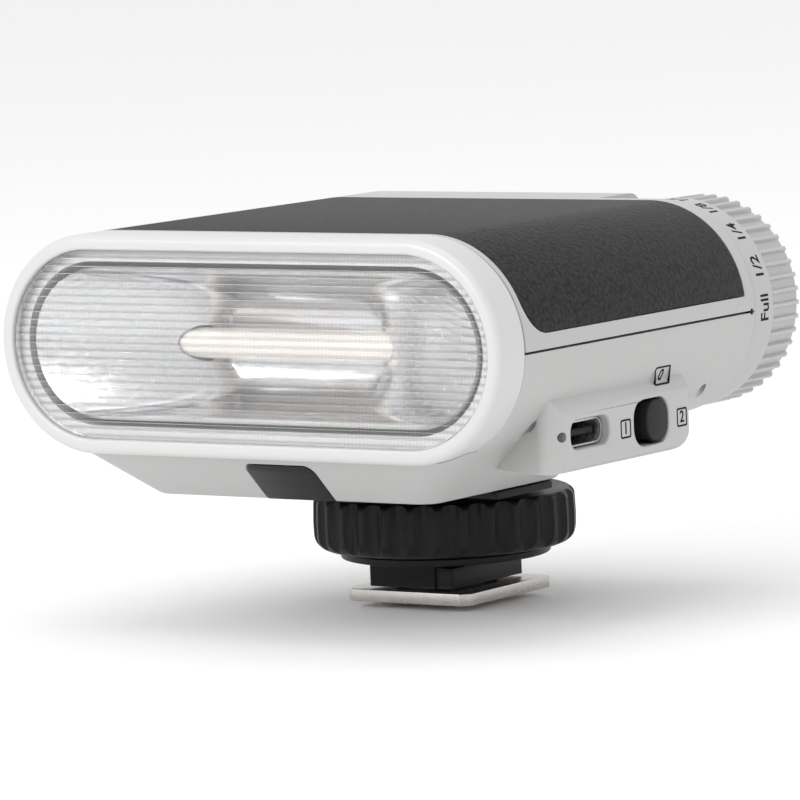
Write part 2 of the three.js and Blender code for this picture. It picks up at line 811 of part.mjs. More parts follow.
function transformer() {
  const high = ceilingZ - transformerHeadroom;
  const right = endCentreX - 0.4;
  const cheek = (low) => block(right - 10, right, -16, -7.5, low, low + 1.6);
  const body = cheek(partsLowZ)
    .add(block(right - 8.5, right - 1.5, -15, -8.5, partsLowZ + 1, high - 1))
    .add(cheek(high - 1.6));
  return piece("charging_transformer", body, 0x3a2f28, 0.6, 0);
}

function triggerCoil() {
  const body = rodZ(2.9, partsLowZ, partsLowZ + 6, endCentreX - 9.8, -1.6, 20);
  return piece("trigger_coil", body, 0x8a5a2b, 0.4, 0.3);
}

function flashTransistor() {
  const left = endCentreX - 5.4;
  const body = block(left, left + 6.4, -5, 1, partsLowZ, partsLowZ + 2.3);
  return piece("flash_transistor", body, 0x1c1c1e, 0.5, 0);
}

// ---- Power dial ----
function dialOutline() {
  const shape = new THREE.Shape();
  const pitch = (2 * Math.PI) / dialRibs;
  const steps = [
    [0.0, dialRootRadius],
    [0.62, dialRootRadius],
    [0.7, dialRadius],
    [0.92, dialRadius],
  ];
  for (let rib = 0; rib < dialRibs; rib++) {
    for (const [share, radius] of steps) {
      const angle = (rib + share) * pitch;
      const x = endCentreX + radius * Math.cos(angle);
      const z = axisHeight + radius * Math.sin(angle);
      if (rib === 0 && share === 0) shape.moveTo(x, z);
      else shape.lineTo(x, z);
    }
  }
  return shape;
}

function powerDial() {
  const rod = (radius, front, back, sides) =>
    rodY(radius, front, back, endCentreX, axisHeight, sides);
  const body = rod(dialRadius, dialFrontY, dialBandBackY, 48)
    .add(alongY(dialOutline(), dialBandBackY - 0.1, dialBackY))
    .subtract(rod(dialRootRadius - dialRim, dialFrontY - 1, dialBackY - 1.8, 32))
    .add(rod(dialShaftRadius + 1.8, dialFrontY + 0.4, dialBackY - 1, roundSides))
    .subtract(rod(dialShaftRadius + gap, 0, dialBackY - 2.4, roundSides));
  return piece("power_dial", body, 0xd2d2d0, 0.45, 0.1);
}

function dialShaft() {
  const flat = block(-farAway, farAway, dialFrontY, farAway, axisHeight + 0.75 * dialShaftRadius,
    farAway);
  const body = rodY(dialShaftRadius, rotarySwitchBackY - shaftGrip, dialBackY - 2.7, endCentreX,
    axisHeight)
    .subtract(flat);
  return piece("dial_shaft", body, 0xb4b4b2, 0.3, 1);
}

function rotarySwitch() {
  const half = rotarySwitchWidth / 2;
  const bore = rodY(dialShaftRadius + gap, rotarySwitchBackY - shaftGrip - gap, farAway, endCentreX,
    axisHeight);
  const body = block(endCentreX - half, endCentreX + half, rotarySwitchBackY - rotarySwitchDepth,
    rotarySwitchBackY, axisHeight - half, axisHeight + half)
    .subtract(bore);
  return piece("rotary_switch", body, 0x2f3134, 0.5, 0.1);
}

// ---- Hot-shoe mount ----
// One moulding: flange under the pedestal, threaded stem, and the neck that stands on the foot.
function mountBase() {
  const flange = alongZ(pedestalPlan(0.4), flangeLowZ, flangeTopZ).intersect(
    block(-farAway, farAway, flangeFrontY, farAway, 0, farAway),
  );
  const stem = rodZ(stemRadius, stemLowZ, flangeLowZ + 0.2, 0, 0, 36);
  const neckRound = rodZ(stemRadius - gap, neckLowZ, stemLowZ + 0.2, 0, 0, 36);
  const neck = block(-neckHalfWidth, neckNotchX, -neckHalfLength, neckHalfLength, neckLowZ,
    stemLowZ + 0.2)
    .add(block(neckNotchX - 1, neckHalfWidth, 0.4 - neckHalfLength, neckHalfLength - 0.4, neckLowZ,
      clampLowZ - 0.75))
    .intersect(neckRound);
  const footHoles = footScrewSpots
    .map(([x, y]) => rodZ(screwRadius + gap, 0, 6, x, y, smallSides))
    .reduce((all, rod) => all.add(rod));
  const mountHoles = mountScrewSpots
    .map(([x, y]) => rodZ(screwRadius + gap, 10, farAway, x, y, smallSides))
    .reduce((all, rod) => all.add(rod));
  const body = flange
    .add(stem)
    .add(neck)
    .subtract(footHoles)
    .subtract(mountHoles)
    .subtract(rodZ(springRadius + springWire + gap, 0, springHighZ + gap, 0, 0, roundSides))
    .subtract(rodZ(pinRadius + gap, 0, farAway, 0, 0, smallSides));
  return piece("mount_base", body, 0x1b1b1c, 0.5, 0);
}

function footPlate() {
  const x = footWidth / 2;
  const y = footLength / 2;
  const shape = new THREE.Shape();
  shape.moveTo(-x + footCorner, -y);
  shape.lineTo(x - footCorner, -y);
  shape.lineTo(x, -y + footCorner);
  shape.lineTo(x, y);
  shape.lineTo(-x, y);
  shape.lineTo(-x, -y + footCorner);
  const heads = footScrewSpots
    .map(([sx, sy]) =>
      rodZ(screwRadius + gap, -1, farAway, sx, sy, smallSides).add(
        rodZ(footScrewHeadRadius + gap, -1, footScrewHeadHeight + gap, sx, sy, smallSides),
      ),
    )
    .reduce((all, rod) => all.add(rod));
  const body = alongZ(shape, 0, footThickness)
    .subtract(heads)
    .subtract(rodZ(insulatorRadius + gap, -1, farAway, 0, 0, roundSides));
  return piece("foot_plate", body, 0xc8c2bb, 0.3, 1);
}

function contactInsulator() {
  const body = rodZ(insulatorRadius, 0.1, footThickness, 0, 0, roundSides).subtract(
    rodZ(pinRadius + gap, -1, farAway, 0, 0, smallSides),
  );
  return piece("contact_insulator", body, 0x161617, 0.6, 0);
}

// The pin's collar rests over the insulator, and the spring pushes on the collar.
function contactPin() {
  const collarLow = neckLowZ + 0.1;
  const geometry = turned([
    [0, -pinReach],
    [pinRadius * 0.6, -pinReach],
    [pinRadius, 0.35 - pinReach],
    [pinRadius, collarLow],
    [pinRadius + collarWidth, collarLow],
    [pinRadius + collarWidth, springLowZ - gap],
    [0.6, springLowZ - gap],
    [0.6, springLowZ + 1.6],
    [0, springLowZ + 1.6],
  ], smallSides);
  return piece("contact_pin", geometry, 0xc9a24a, 0.25, 1);
}

function contactSpring() {
  const height = springHighZ - springLowZ - 2 * springWire;
  class Coil extends THREE.Curve {
    getPoint(t) {
      const angle = 2 * Math.PI * springTurns * t;
      return new THREE.Vector3(
        springRadius * Math.cos(angle),
        springRadius * Math.sin(angle),
        springLowZ + springWire + height * t,
      );
    }
  }
  const wire = new THREE.Shape();
  wire.absarc(0, 0, springWire, 0, 2 * Math.PI, false);
  const geometry = new THREE.ExtrudeGeometry(wire, {
    steps: springTurns * 9,
    extrudePath: new Coil(),
    bevelEnabled: false,
    curveSegments: 3,
  });
  return piece("contact_spring", solid(geometry), 0xa9abad, 0.3, 1);
}

function lockWheel() {
  const shape = new THREE.Shape();
  const pitch = (2 * Math.PI) / wheelFlutes;
  const steps = [
    [0.0, wheelRadius],
    [0.2, wheelRadius],
    [0.4, wheelRadius - fluteDepth * 0.8],
    [0.6, wheelRadius - fluteDepth],
    [0.8, wheelRadius - fluteDepth * 0.8],
  ];
  for (let flute = 0; flute < wheelFlutes; flute++) {
    for (const [share, radius] of steps) {
      const angle = (flute + share) * pitch;
      const x = radius * Math.cos(angle);
      const y = radius * Math.sin(angle);
      if (flute === 0 && share === 0) shape.moveTo(x, y);
      else shape.lineTo(x, y);
    }
  }
  const high = wheelLowZ + wheelHeight;
  const edges = solid(turned([
    [0, wheelLowZ],
    [wheelRadius - 1.7, wheelLowZ],
    [wheelRadius, wheelLowZ + 1],
    [wheelRadius, high - 0.7],
    [wheelRadius - 0.9, high],
    [0, high],
  ], 60));
  const body = alongZ(shape, wheelLowZ, high)
    .intersect(edges)
    .subtract(rodZ(wheelBoreRadius, 0, farAway, 0, 0, 36));
  return piece("lock_wheel", body, 0x1e1e1f, 0.5, 0);
}

function clampPlate() {
  const clear = 2 * gap;
  const body = rodZ(clampRadius, clampLowZ, clampLowZ + clampThickness, 0, 0, 36).subtract(
    block(-neckHalfWidth - clear, neckHalfWidth + clear, -neckHalfLength - clear,
      neckHalfLength + clear, 0, farAway),
  );
  return piece("clamp_plate", body, 0x171718, 0.55, 0);
}

// ---- Screws ----
function screw(name, headRadius, headHeight, length, x, y, z) {
  const geometry = turned([
    [0, 0],
    [headRadius, 0],
    [headRadius, headHeight],
    [screwRadius, headHeight],
    [screwRadius, headHeight + length],
    [0, headHeight + length],
  ], smallSides);
  const mesh = piece(name, geometry, 0x8d8f92, 0.35, 1);
  mesh.position.set(x, y, z);
  return mesh;
}

function footScrew([x, y], index) {
  return screw(`foot_screw_${index + 1}`, footScrewHeadRadius, footScrewHeadHeight, 4.4, x, y, 0.05);
}

function caseScrew([x, y], index) {
  const z = caseScrewHeadZ - gap - caseScrewHeadHeight;
  return screw(`case_screw_${index + 1}`, screwHeadRadius, caseScrewHeadHeight, caseScrewLength, x,
    y, z);
}

function mountScrew([x, y], index) {
  const mesh = screw(`mount_screw_${index + 1}`, screwHeadRadius, mountScrewHeadHeight,
    mountScrewLength, x, y, 0);
  mesh.rotation.x = Math.PI;
  mesh.position.z = pedestalFloor + floorThickness + gap + mountScrewHeadHeight;
  return mesh;
}

// ---- The whole flash ----
const head = assembly(
  frontBezel(),
  fresnelLens(),
  reflector(),
  xenonTube(),
  tubeCap("tube_cap_left", -1),
  tubeCap("tube_cap_right", 1),
);
const casing = assembly(
  topCover(),
  topLeather(),
  lowerShell(),
  rearCover(),
  sensorWindow(),
  photoSensor(),
  ...caseScrewSpots.map(caseScrew),
);
const rearControls = assembly(testButton(), testSwitch(), rearBoard(), readyLed());
const sideConsole = assembly(
  socketShell(),
  socketTongue(),
  modeKnob(),
  modeSwitch(),
  sideBoard(),
  chargeLed(),
);
const electronics = assembly(
  mainBoard(),
  flashCapacitor(),
  batteryCell(),
  transformer(),
  triggerCoil(),
  flashTransistor(),
);
const dial = assembly(powerDial(), dialShaft(), rotarySwitch());
const shoeMount = assembly(
  mountBase(),
  footPlate(),
  contactInsulator(),
  contactPin(),
  contactSpring(),
  lockWheel(),
  clampPlate(),
  ...footScrewSpots.map(footScrew),
  ...mountScrewSpots.map(mountScrew),
);

export default assembly(
  head,
  casing,
  rearControls,
  sideConsole,
  electronics,
  dial,
  shoeMount,
);
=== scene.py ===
import math

import bmesh
import bpy
from mathutils import Matrix, Vector


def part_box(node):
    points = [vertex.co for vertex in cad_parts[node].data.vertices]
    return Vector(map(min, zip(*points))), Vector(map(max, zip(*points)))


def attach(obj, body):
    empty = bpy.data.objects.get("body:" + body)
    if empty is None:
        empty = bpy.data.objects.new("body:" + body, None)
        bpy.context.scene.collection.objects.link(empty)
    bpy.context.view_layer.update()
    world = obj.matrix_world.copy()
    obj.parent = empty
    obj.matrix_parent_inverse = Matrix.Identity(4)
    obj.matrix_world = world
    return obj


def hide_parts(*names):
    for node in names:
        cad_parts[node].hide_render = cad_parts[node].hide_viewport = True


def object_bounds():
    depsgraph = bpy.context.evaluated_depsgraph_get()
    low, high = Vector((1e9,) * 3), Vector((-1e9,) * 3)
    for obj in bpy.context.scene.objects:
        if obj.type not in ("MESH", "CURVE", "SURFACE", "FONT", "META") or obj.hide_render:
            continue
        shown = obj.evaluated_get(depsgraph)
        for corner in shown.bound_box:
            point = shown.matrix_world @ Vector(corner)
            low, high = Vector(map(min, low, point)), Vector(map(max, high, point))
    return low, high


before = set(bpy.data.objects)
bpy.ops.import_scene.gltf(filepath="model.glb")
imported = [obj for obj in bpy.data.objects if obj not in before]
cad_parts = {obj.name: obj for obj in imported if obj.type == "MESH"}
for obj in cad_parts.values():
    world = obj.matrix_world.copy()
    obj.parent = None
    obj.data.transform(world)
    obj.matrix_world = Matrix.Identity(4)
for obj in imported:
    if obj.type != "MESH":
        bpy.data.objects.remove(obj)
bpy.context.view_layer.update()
mm = 0.001

# Sizes read from the frame.
bezelLow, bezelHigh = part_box("front_bezel")
endRadius = (bezelHigh.z - bezelLow.z) / 2
axisZ = (bezelHigh.z + bezelLow.z) / 2
endX = bezelHigh.x - endRadius
frontY = bezelLow.y
coverLow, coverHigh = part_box("top_cover")
bezelBackY = coverLow.y - 0.3 * mm
rearFrontY = coverHigh.y + 0.3 * mm
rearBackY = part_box("rear_cover")[1].y
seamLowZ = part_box("lower_shell")[1].z
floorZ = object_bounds()[0][2]
tau = 2 * math.pi
near = 1e-6  # how close counts as flush
far = 0.08  # past every side of the object


# Small tools.
def onlySelect(obj):
    for other in bpy.context.selected_objects:
        other.select_set(False)
    obj.select_set(True)
    bpy.context.view_layer.objects.active = obj


def openEdit(obj):
    onlySelect(obj)
    bpy.ops.object.mode_set(mode="EDIT")


def closeEdit():
    bpy.ops.object.mode_set(mode="OBJECT")


# Selects every vertex, edge or face whose corners all pass the test.
def choose(obj, kind, test):
    bpy.ops.mesh.select_mode(type=kind)
    bpy.ops.mesh.select_all(action="DESELECT")
    mesh = bmesh.from_edit_mesh(obj.data)
    items = {"VERT": mesh.verts, "EDGE": mesh.edges, "FACE": mesh.faces}[kind]
    for item in items:
        corners = [item.co] if kind == "VERT" else [v.co for v in item.verts]
        if all(test(corner) for corner in corners):
            item.select_set(True)
    mesh.select_flush_mode()
    bmesh.update_edit_mesh(obj.data)


# A corner with a third number is rounded by that radius.
def rounded(corners, steps=6):
    path = []
    count = len(corners)
    for i, corner in enumerate(corners):
        here = Vector(corner[:2])
        if len(corner) < 3:
            path.append(here)
            continue
        toLast = (Vector(corners[i - 1][:2]) - here).normalized()
        toNext = (Vector(corners[(i + 1) % count][:2]) - here).normalized()
        half = toLast.angle(toNext) / 2
        radius = corner[2]
        centre = here + (toLast + toNext).normalized() * radius / math.sin(half)
        start = here + toLast * radius / math.tan(half) - centre
        end = here + toNext * radius / math.tan(half) - centre
        sweep = start.angle_signed(end)
        for k in range(steps + 1):
            turn = -sweep * k / steps
            path.append(centre + Matrix.Rotation(turn, 2) @ start)
    return path


# Draws a line of points by extruding one vertex, as in a sketch.
def drawLine(name, points, closed=True):
    active = bpy.context.view_layer.objects.active
    if active:
        onlySelect(active)
    bpy.ops.mesh.primitive_plane_add(size=mm, location=(0, 0, 0))
    obj = bpy.context.object
    obj.name = name
    obj.data.name = name
    bpy.ops.object.mode_set(mode="EDIT")
    bpy.ops.mesh.select_mode(type="VERT")
    bpy.ops.mesh.select_all(action="SELECT")
    bpy.ops.mesh.merge(type="CENTER")
    last = Vector((0, 0, 0))
    route = list(points) + ([points[0]] if closed else [])
    for i, point in enumerate(route):
        step = {"value": tuple(Vector(point) - last)}
        if i == 0:
            bpy.ops.transform.translate(**step)
        else:
            bpy.ops.mesh.extrude_region_move(TRANSFORM_OT_translate=step)
        last = Vector(point)
    bpy.ops.mesh.select_all(action="SELECT")
    bpy.ops.mesh.remove_doubles(threshold=0.002 * mm)
    return obj


def tidyMesh():
    bpy.ops.mesh.select_mode(type="VERT")
    bpy.ops.mesh.select_all(action="SELECT")
    bpy.ops.mesh.remove_doubles(threshold=0.003 * mm)
    bpy.ops.mesh.normals_make_consistent(inside=False)
    closeEdit()


# A solid of revolution from (radius, along) corners, in millimetres from its centre.
def turned(name, corners, centre, axis="Z", steps=64, closed=False):
    place = {
        "X": lambda p: (centre[0] + p.y, centre[1], centre[2] + p.x),
        "Y": lambda p: (centre[0] + p.x, centre[1] + p.y, centre[2]),
        "Z": lambda p: (centre[0] + p.x, centre[1], centre[2] + p.y),
    }[axis]
    obj = drawLine(name, [place(p * mm) for p in rounded(corners)], closed)
    turnAxis = tuple(float(axis == letter) for letter in "XYZ")
    bpy.ops.mesh.spin(steps=steps, angle=tau, center=centre, axis=turnAxis)
    tidyMesh()
    return obj


# A prism from an outline in the plane across the axis.
def prism(name, outline, axis, start, end):
    place = {
        "X": lambda p: (start, p[0], p[1]),
        "Y": lambda p: (p[0], start, p[1]),
        "Z": lambda p: (p[0], p[1], start),
    }[axis]
    obj = drawLine(name, [place(p) for p in outline])
    bpy.ops.mesh.edge_face_add()
    along = [(end - start) * (axis == letter) for letter in "XYZ"]
    bpy.ops.mesh.extrude_region_move(TRANSFORM_OT_translate={"value": tuple(along)})
    tidyMesh()
    return obj


def circle(radius, across, up, steps=32):
    turns = [tau * k / steps for k in range(steps)]
    return [(across + radius * math.cos(t), up + radius * math.sin(t)) for t in turns]


def rectangle(left, low, right, high):
    return [(left, low), (right, low), (right, high), (left, high)]


# A test for points that lie flush with one of the places along an axis.
def flush(axis, *places):
    number = "XYZ".index(axis)
    return lambda c: any(abs(c[number] - place) < near for place in places)


# Rounds the edges that pass the test.
def soften(obj, width, segments, test):
    openEdit(obj)
    choose(obj, "EDGE", test)
    bpy.ops.mesh.bevel(offset=width, segments=segments, profile=0.5, affect="EDGES")
    tidyMesh()


def combine(target, tool, how):
    cut = target.modifiers.new(how.lower(), "BOOLEAN")
    cut.operation = how
    cut.object = tool
    cut.solver = "EXACT"
    onlySelect(target)
    bpy.ops.object.modifier_apply(modifier=cut.name)
    bpy.data.objects.remove(tool)


def applyAll(obj):
    onlySelect(obj)
    for modifier in list(obj.modifiers):
        bpy.ops.object.modifier_apply(modifier=modifier.name)


def bevelEdges(obj, width, segments=2, angle=40):
    bevel = obj.modifiers.new("bevel", "BEVEL")
    bevel.width = width
    bevel.segments = segments
    bevel.limit_method = "ANGLE"
    bevel.angle_limit = math.radians(angle)
    bevel.use_clamp_overlap = True
    bevel.harden_normals = False
    applyAll(obj)


def smooth(obj, angle=32):
    onlySelect(obj)
    bpy.ops.object.shade_smooth_by_angle(angle=math.radians(angle))


def joinAll(pieces, name):
    onlySelect(pieces[0])
    for other in pieces[1:]:
        other.select_set(True)
    bpy.ops.object.join()
    obj = bpy.context.object
    obj.name = name
    return obj


def settle(obj, material, body, slot, *nodes):
    obj.data.materials.clear()
    obj.data.materials.append(material)
    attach(obj, body)
    if nodes:
        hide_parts(*nodes)


# The head's outline.
# Sweeps the line open in edit mode, drawn above the right end's centre, round the whole head.
def sweepHead(steps):
    turn = dict(steps=steps, angle=-math.pi, axis=(0, 1, 0))
    slide = {"value": (-2 * endX, 0, 0)}
    bpy.ops.mesh.select_all(action="SELECT")
    bpy.ops.mesh.spin(center=(endX, 0, axisZ), **turn)
    bpy.ops.mesh.extrude_region_move(TRANSFORM_OT_translate=slide)
    bpy.ops.mesh.spin(center=(-endX, 0, axisZ), **turn)
    slide = {"value": (2 * endX, 0, 0)}
    bpy.ops.mesh.extrude_region_move(TRANSFORM_OT_translate=slide)
    tidyMesh()


# A ring round the head: its section is given as (y, distance inside the outline).
def headRing(name, corners, steps=40, roundSteps=6):
    path = rounded(corners, roundSteps)
    obj = drawLine(name, [(endX, p.x, axisZ + endRadius - p.y) for p in path])
    sweepHead(steps)
    return obj


def headOutline(inset, steps=40):
    radius = endRadius - inset
    points = []
    for side in (1, -1):
        for k in range(steps + 1):
            angle = math.pi * k / steps - math.pi / 2
            x = side * (endX + radius * math.cos(angle))
            points.append((x, axisZ + side * radius * math.sin(angle)))
    return points


def headSolid(name, inset, start, end, steps=40):
    return prism(name, headOutline(inset, steps), "Y", start, end)


# Material tools.
def newTree(name):
    material = bpy.data.materials.new(name)
    material.use_nodes = True
    tree = material.node_tree
    return material, tree, tree.nodes["Principled BSDF"]


def addNode(tree, kind, **values):
    node = tree.nodes.new("ShaderNode" + kind)
    for name, value in values.items():
        if hasattr(node, name):
            setattr(node, name, value)
        else:
            node.inputs[name.replace("_", " ").title()].default_value = value
    return node


def newGroup(name, inputs, outputs):
    tree = bpy.data.node_groups.new(name, "ShaderNodeTree")
    for label, value in inputs.items():
        kind = "NodeSocketColor" if isinstance(value, tuple) else "NodeSocketFloat"
        socket = tree.interface.new_socket(label, in_out="INPUT", socket_type=kind)
        socket.default_value = value
    for label, kind in outputs.items():
        tree.interface.new_socket(label, in_out="OUTPUT", socket_type=kind)
    return tree, tree.nodes.new("NodeGroupInput"), tree.nodes.new("NodeGroupOutput")


def placeGroup(tree, group, **values):
    node = tree.nodes.new("ShaderNodeGroup")
    node.node_tree = group
    for socket in node.inputs:
        if socket.name in values:
            socket.default_value = values[socket.name]
    return node


# Edge wear: a mask that is white on the outer edges, broken up by noise.
def makeEdgeWear():
    tree, given, out = newGroup(
        "edgeWear",
        {"radius": 0.2 * mm, "amount": 1.0, "breakup": 900.0},
        {"mask": "NodeSocketFloat"},
    )
    link = tree.links.new
    bevel = addNode(tree, "Bevel", samples=4)
    link(given.outputs["radius"], bevel.inputs["Radius"])
    flat = addNode(tree, "NewGeometry")
    dot = addNode(tree, "VectorMath", operation="DOT_PRODUCT")
    link(bevel.outputs["Normal"], dot.inputs[0])
    link(flat.outputs["Normal"], dot.inputs[1])
    turn = addNode(tree, "MapRange")
    turn.inputs["From Min"].default_value = 0.995
    turn.inputs["From Max"].default_value = 0.85
    link(dot.outputs["Value"], turn.inputs["Value"])
    place = addNode(tree, "TexCoord")
    noise = addNode(tree, "TexNoise")
    noise.inputs["Detail"].default_value = 4
    link(place.outputs["Object"], noise.inputs["Vector"])
    link(given.outputs["breakup"], noise.inputs["Scale"])
    ramp = addNode(tree, "MapRange")
    ramp.inputs["From Min"].default_value = 0.35
    ramp.inputs["From Max"].default_value = 0.65
    link(noise.outputs["Fac"], ramp.inputs["Value"])
    times = addNode(tree, "Math", operation="MULTIPLY")
    link(turn.outputs["Result"], times.inputs[0])
    link(ramp.outputs["Result"], times.inputs[1])
    scaled = addNode(tree, "Math", operation="MULTIPLY", use_clamp=True)
    link(times.outputs["Value"], scaled.inputs[0])
    link(given.outputs["amount"], scaled.inputs[1])
    link(scaled.outputs["Value"], out.inputs["mask"])
    return tree


# Fine moulded or sprayed grain: a height, a slow colour variation and a fine speckle.
def makeGrain():
    tree, given, out = newGroup(
        "grain",
        {"scale": 4000.0, "spread": 60.0},
        {"height": "NodeSocketFloat", "slow": "NodeSocketFloat", "speckle": "NodeSocketFloat"},
    )
    link = tree.links.new
    place = addNode(tree, "TexCoord")
    fine = addNode(tree, "TexNoise")
    fine.inputs["Detail"].default_value = 3
    slow = addNode(tree, "TexNoise")
    slow.inputs["Detail"].default_value = 5
    dots = addNode(tree, "TexVoronoi")
    for node, name in ((fine, "scale"), (slow, "spread"), (dots, "scale")):
        link(place.outputs["Object"], node.inputs["Vector"])
        link(given.outputs[name], node.inputs["Scale"])
    link(fine.outputs["Fac"], out.inputs["height"])
    link(slow.outputs["Fac"], out.inputs["slow"])
    link(dots.outputs["Distance"], out.inputs["speckle"])
    return tree


edgeWear = makeEdgeWear()
grain = makeGrain()


# Mixes two colours by a mask and returns the socket with the result.
def mixColours(tree, mask, first, second):
    mix = tree.nodes.new("ShaderNodeMix")
    mix.data_type = "RGBA"
    sockets = [s for s in mix.inputs if s.type == "RGBA"]
    for socket, value in zip(sockets, (first, second)):
        if isinstance(value, tuple):
            socket.default_value = (*value, 1)
        else:
            tree.links.new(value, socket)
    tree.links.new(mask, mix.inputs["Factor"])
    return [s for s in mix.outputs if s.type == "RGBA"][0]


def remap(tree, value, low, high, fromLow=0.0, fromHigh=1.0):
    node = addNode(tree, "MapRange")
    node.inputs["From Min"].default_value = fromLow
    node.inputs["From Max"].default_value = fromHigh
    node.inputs["To Min"].default_value = low
    node.inputs["To Max"].default_value = high
    tree.links.new(value, node.inputs["Value"])
    return node.outputs["Result"]


def bumpFrom(tree, shader, height, strength, distance, under=None):
    bump = addNode(tree, "Bump")
    bump.inputs["Strength"].default_value = strength
    bump.inputs["Distance"].default_value = distance
    tree.links.new(height, bump.inputs["Height"])
    if under:
        tree.links.new(under, bump.inputs["Normal"])
    tree.links.new(bump.outputs["Normal"], shader.inputs["Normal"])
    return bump.outputs["Normal"]


# Plastic, painted or bare, with grain, slow variation and brighter worn edges.
def plastic(name, colour, worn, roughness, metallic=0.0, grainScale=4000.0, relief=0.006, wear=0.5,
            gloss=0.5):
    material, tree, shader = newTree(name)
    texture = placeGroup(tree, grain, scale=grainScale, spread=55.0)
    wearMask = placeGroup(tree, edgeWear, radius=0.18 * mm, amount=wear, breakup=700.0)
    darker = tuple(c * 0.955 for c in colour)
    varied = mixColours(tree, texture.outputs["slow"], darker, colour)
    final = mixColours(tree, wearMask.outputs["mask"], varied, worn)
    tree.links.new(final, shader.inputs["Base Color"])
    rough = remap(tree, texture.outputs["slow"], roughness - 0.05, roughness + 0.05, 0.3, 0.7)
    tree.links.new(rough, shader.inputs["Roughness"])
    shader.inputs["Metallic"].default_value = metallic
    shader.inputs["Specular IOR Level"].default_value = gloss
    bumpFrom(tree, shader, texture.outputs["height"], 0.35, relief * mm)
    return material


# Metal with fine lines along one axis.
def brushed(name, colour, roughness, stretch, wear=0.3):
    material, tree, shader = newTree(name)
    place = addNode(tree, "TexCoord")
    mapping = addNode(tree, "Mapping")
    mapping.inputs["Scale"].default_value = stretch
    tree.links.new(place.outputs["Object"], mapping.inputs["Vector"])
    lines = addNode(tree, "TexNoise")
    lines.inputs["Scale"].default_value = 1.0
    lines.inputs["Detail"].default_value = 6
    tree.links.new(mapping.outputs["Vector"], lines.inputs["Vector"])
    wearMask = placeGroup(tree, edgeWear, radius=0.15 * mm, amount=wear, breakup=900.0)
    darker = tuple(c * 0.8 for c in colour)
    brighter = tuple(min(1, c * 1.2) for c in colour)
    varied = mixColours(tree, lines.outputs["Fac"], darker, colour)
    final = mixColours(tree, wearMask.outputs["mask"], varied, brighter)
    tree.links.new(final, shader.inputs["Base Color"])
    rough = remap(tree, lines.outputs["Fac"], roughness - 0.08, roughness + 0.08, 0.3, 0.7)
    tree.links.new(rough, shader.inputs["Roughness"])
    shader.inputs["Metallic"].default_value = 1.0
    bumpFrom(tree, shader, lines.outputs["Fac"], 0.25, 0.004 * mm)
    return material


# Pebbled leather-look covering.
def leatherLook(name):
    material, tree, shader = newTree(name)
    place = addNode(tree, "TexCoord")
    cells = addNode(tree, "TexVoronoi", feature="SMOOTH_F1")
    cells.inputs["Scale"].default_value = 1900.0
    fine = addNode(tree, "TexNoise")
    fine.inputs["Scale"].default_value = 5200.0
    fine.inputs["Detail"].default_value = 4
    slow = addNode(tree, "TexNoise")
    slow.inputs["Scale"].default_value = 120.0
    for node in (cells, fine, slow):
        tree.links.new(place.outputs["Object"], node.inputs["Vector"])
    # Darker where the cells' edges sink in the bump below: painted shade in the pits between the
    # pebbles.
    pitShadedTone = mixColours(tree, remap(tree, cells.outputs["Distance"], 0, 1, 0.1, 0.7),
                      (0.026, 0.026, 0.027), (0.003, 0.003, 0.003))
    speckled = mixColours(tree, remap(tree, fine.outputs["Fac"], 0, 0.6, 0.5, 0.72), pitShadedTone,
                          (0.065, 0.065, 0.066))
    tree.links.new(speckled, shader.inputs["Base Color"])
    tree.links.new(remap(tree, fine.outputs["Fac"], 0.42, 0.68, 0.3, 0.7), shader.inputs["Roughness"])
    shader.inputs["Specular IOR Level"].default_value = 0.22
    first = bumpFrom(tree, shader, cells.outputs["Distance"], 0.9, -0.14 * mm)
    bumpFrom(tree, shader, fine.outputs["Fac"], 0.7, 0.06 * mm, first)
    return material


def clearLens(name):
    material, tree, shader = newTree(name)
    shader.inputs["Transmission Weight"].default_value = 0.94
    shader.inputs["IOR"].default_value = 1.3
    place = addNode(tree, "TexCoord")
    parts = addNode(tree, "SeparateXYZ")
    tree.links.new(place.outputs["Object"], parts.inputs["Vector"])
    waves = []
    floors = (0.62, 0.25)
    for axis, pitch in (("X", 0.55 * mm), ("Z", 0.95 * mm)):
        turn = addNode(tree, "Math", operation="MULTIPLY")
        turn.inputs[1].default_value = tau / pitch
        tree.links.new(parts.outputs[axis], turn.inputs[0])
        wave = addNode(tree, "Math", operation="SINE")
        tree.links.new(turn.outputs["Value"], wave.inputs[0])
        waves.append(wave)
    grid = addNode(tree, "Math", operation="MULTIPLY")
    for k in range(2):
        tree.links.new(remap(tree, waves[k].outputs["Value"], 1, floors[k], 0.1, 1.0), grid.inputs[k])
    # The clear lens is greyed along the grid's lines: painted shade standing for the light bent by its
    # prism grooves.
    prismShadeTint = mixColours(tree, grid.outputs["Value"], (0.6, 0.61, 0.62), (1.0, 1.0, 1.0))
    tree.links.new(prismShadeTint, shader.inputs["Base Color"])
    bumpFrom(tree, shader, grid.outputs["Value"], 0.25, 0.006 * mm)
    tree.links.new(remap(tree, grid.outputs["Value"], 0.12, 0.05), shader.inputs["Roughness"])
    clear = addNode(tree, "BsdfTransparent")
    path = addNode(tree, "LightPath")
    mix = addNode(tree, "MixShader")
    out = tree.nodes["Material Output"]
    tree.links.new(path.outputs["Is Shadow Ray"], mix.inputs[0])
    tree.links.new(shader.outputs["BSDF"], mix.inputs[1])
    tree.links.new(clear.outputs["BSDF"], mix.inputs[2])
    tree.links.new(mix.outputs["Shader"], out.inputs["Surface"])
    return material
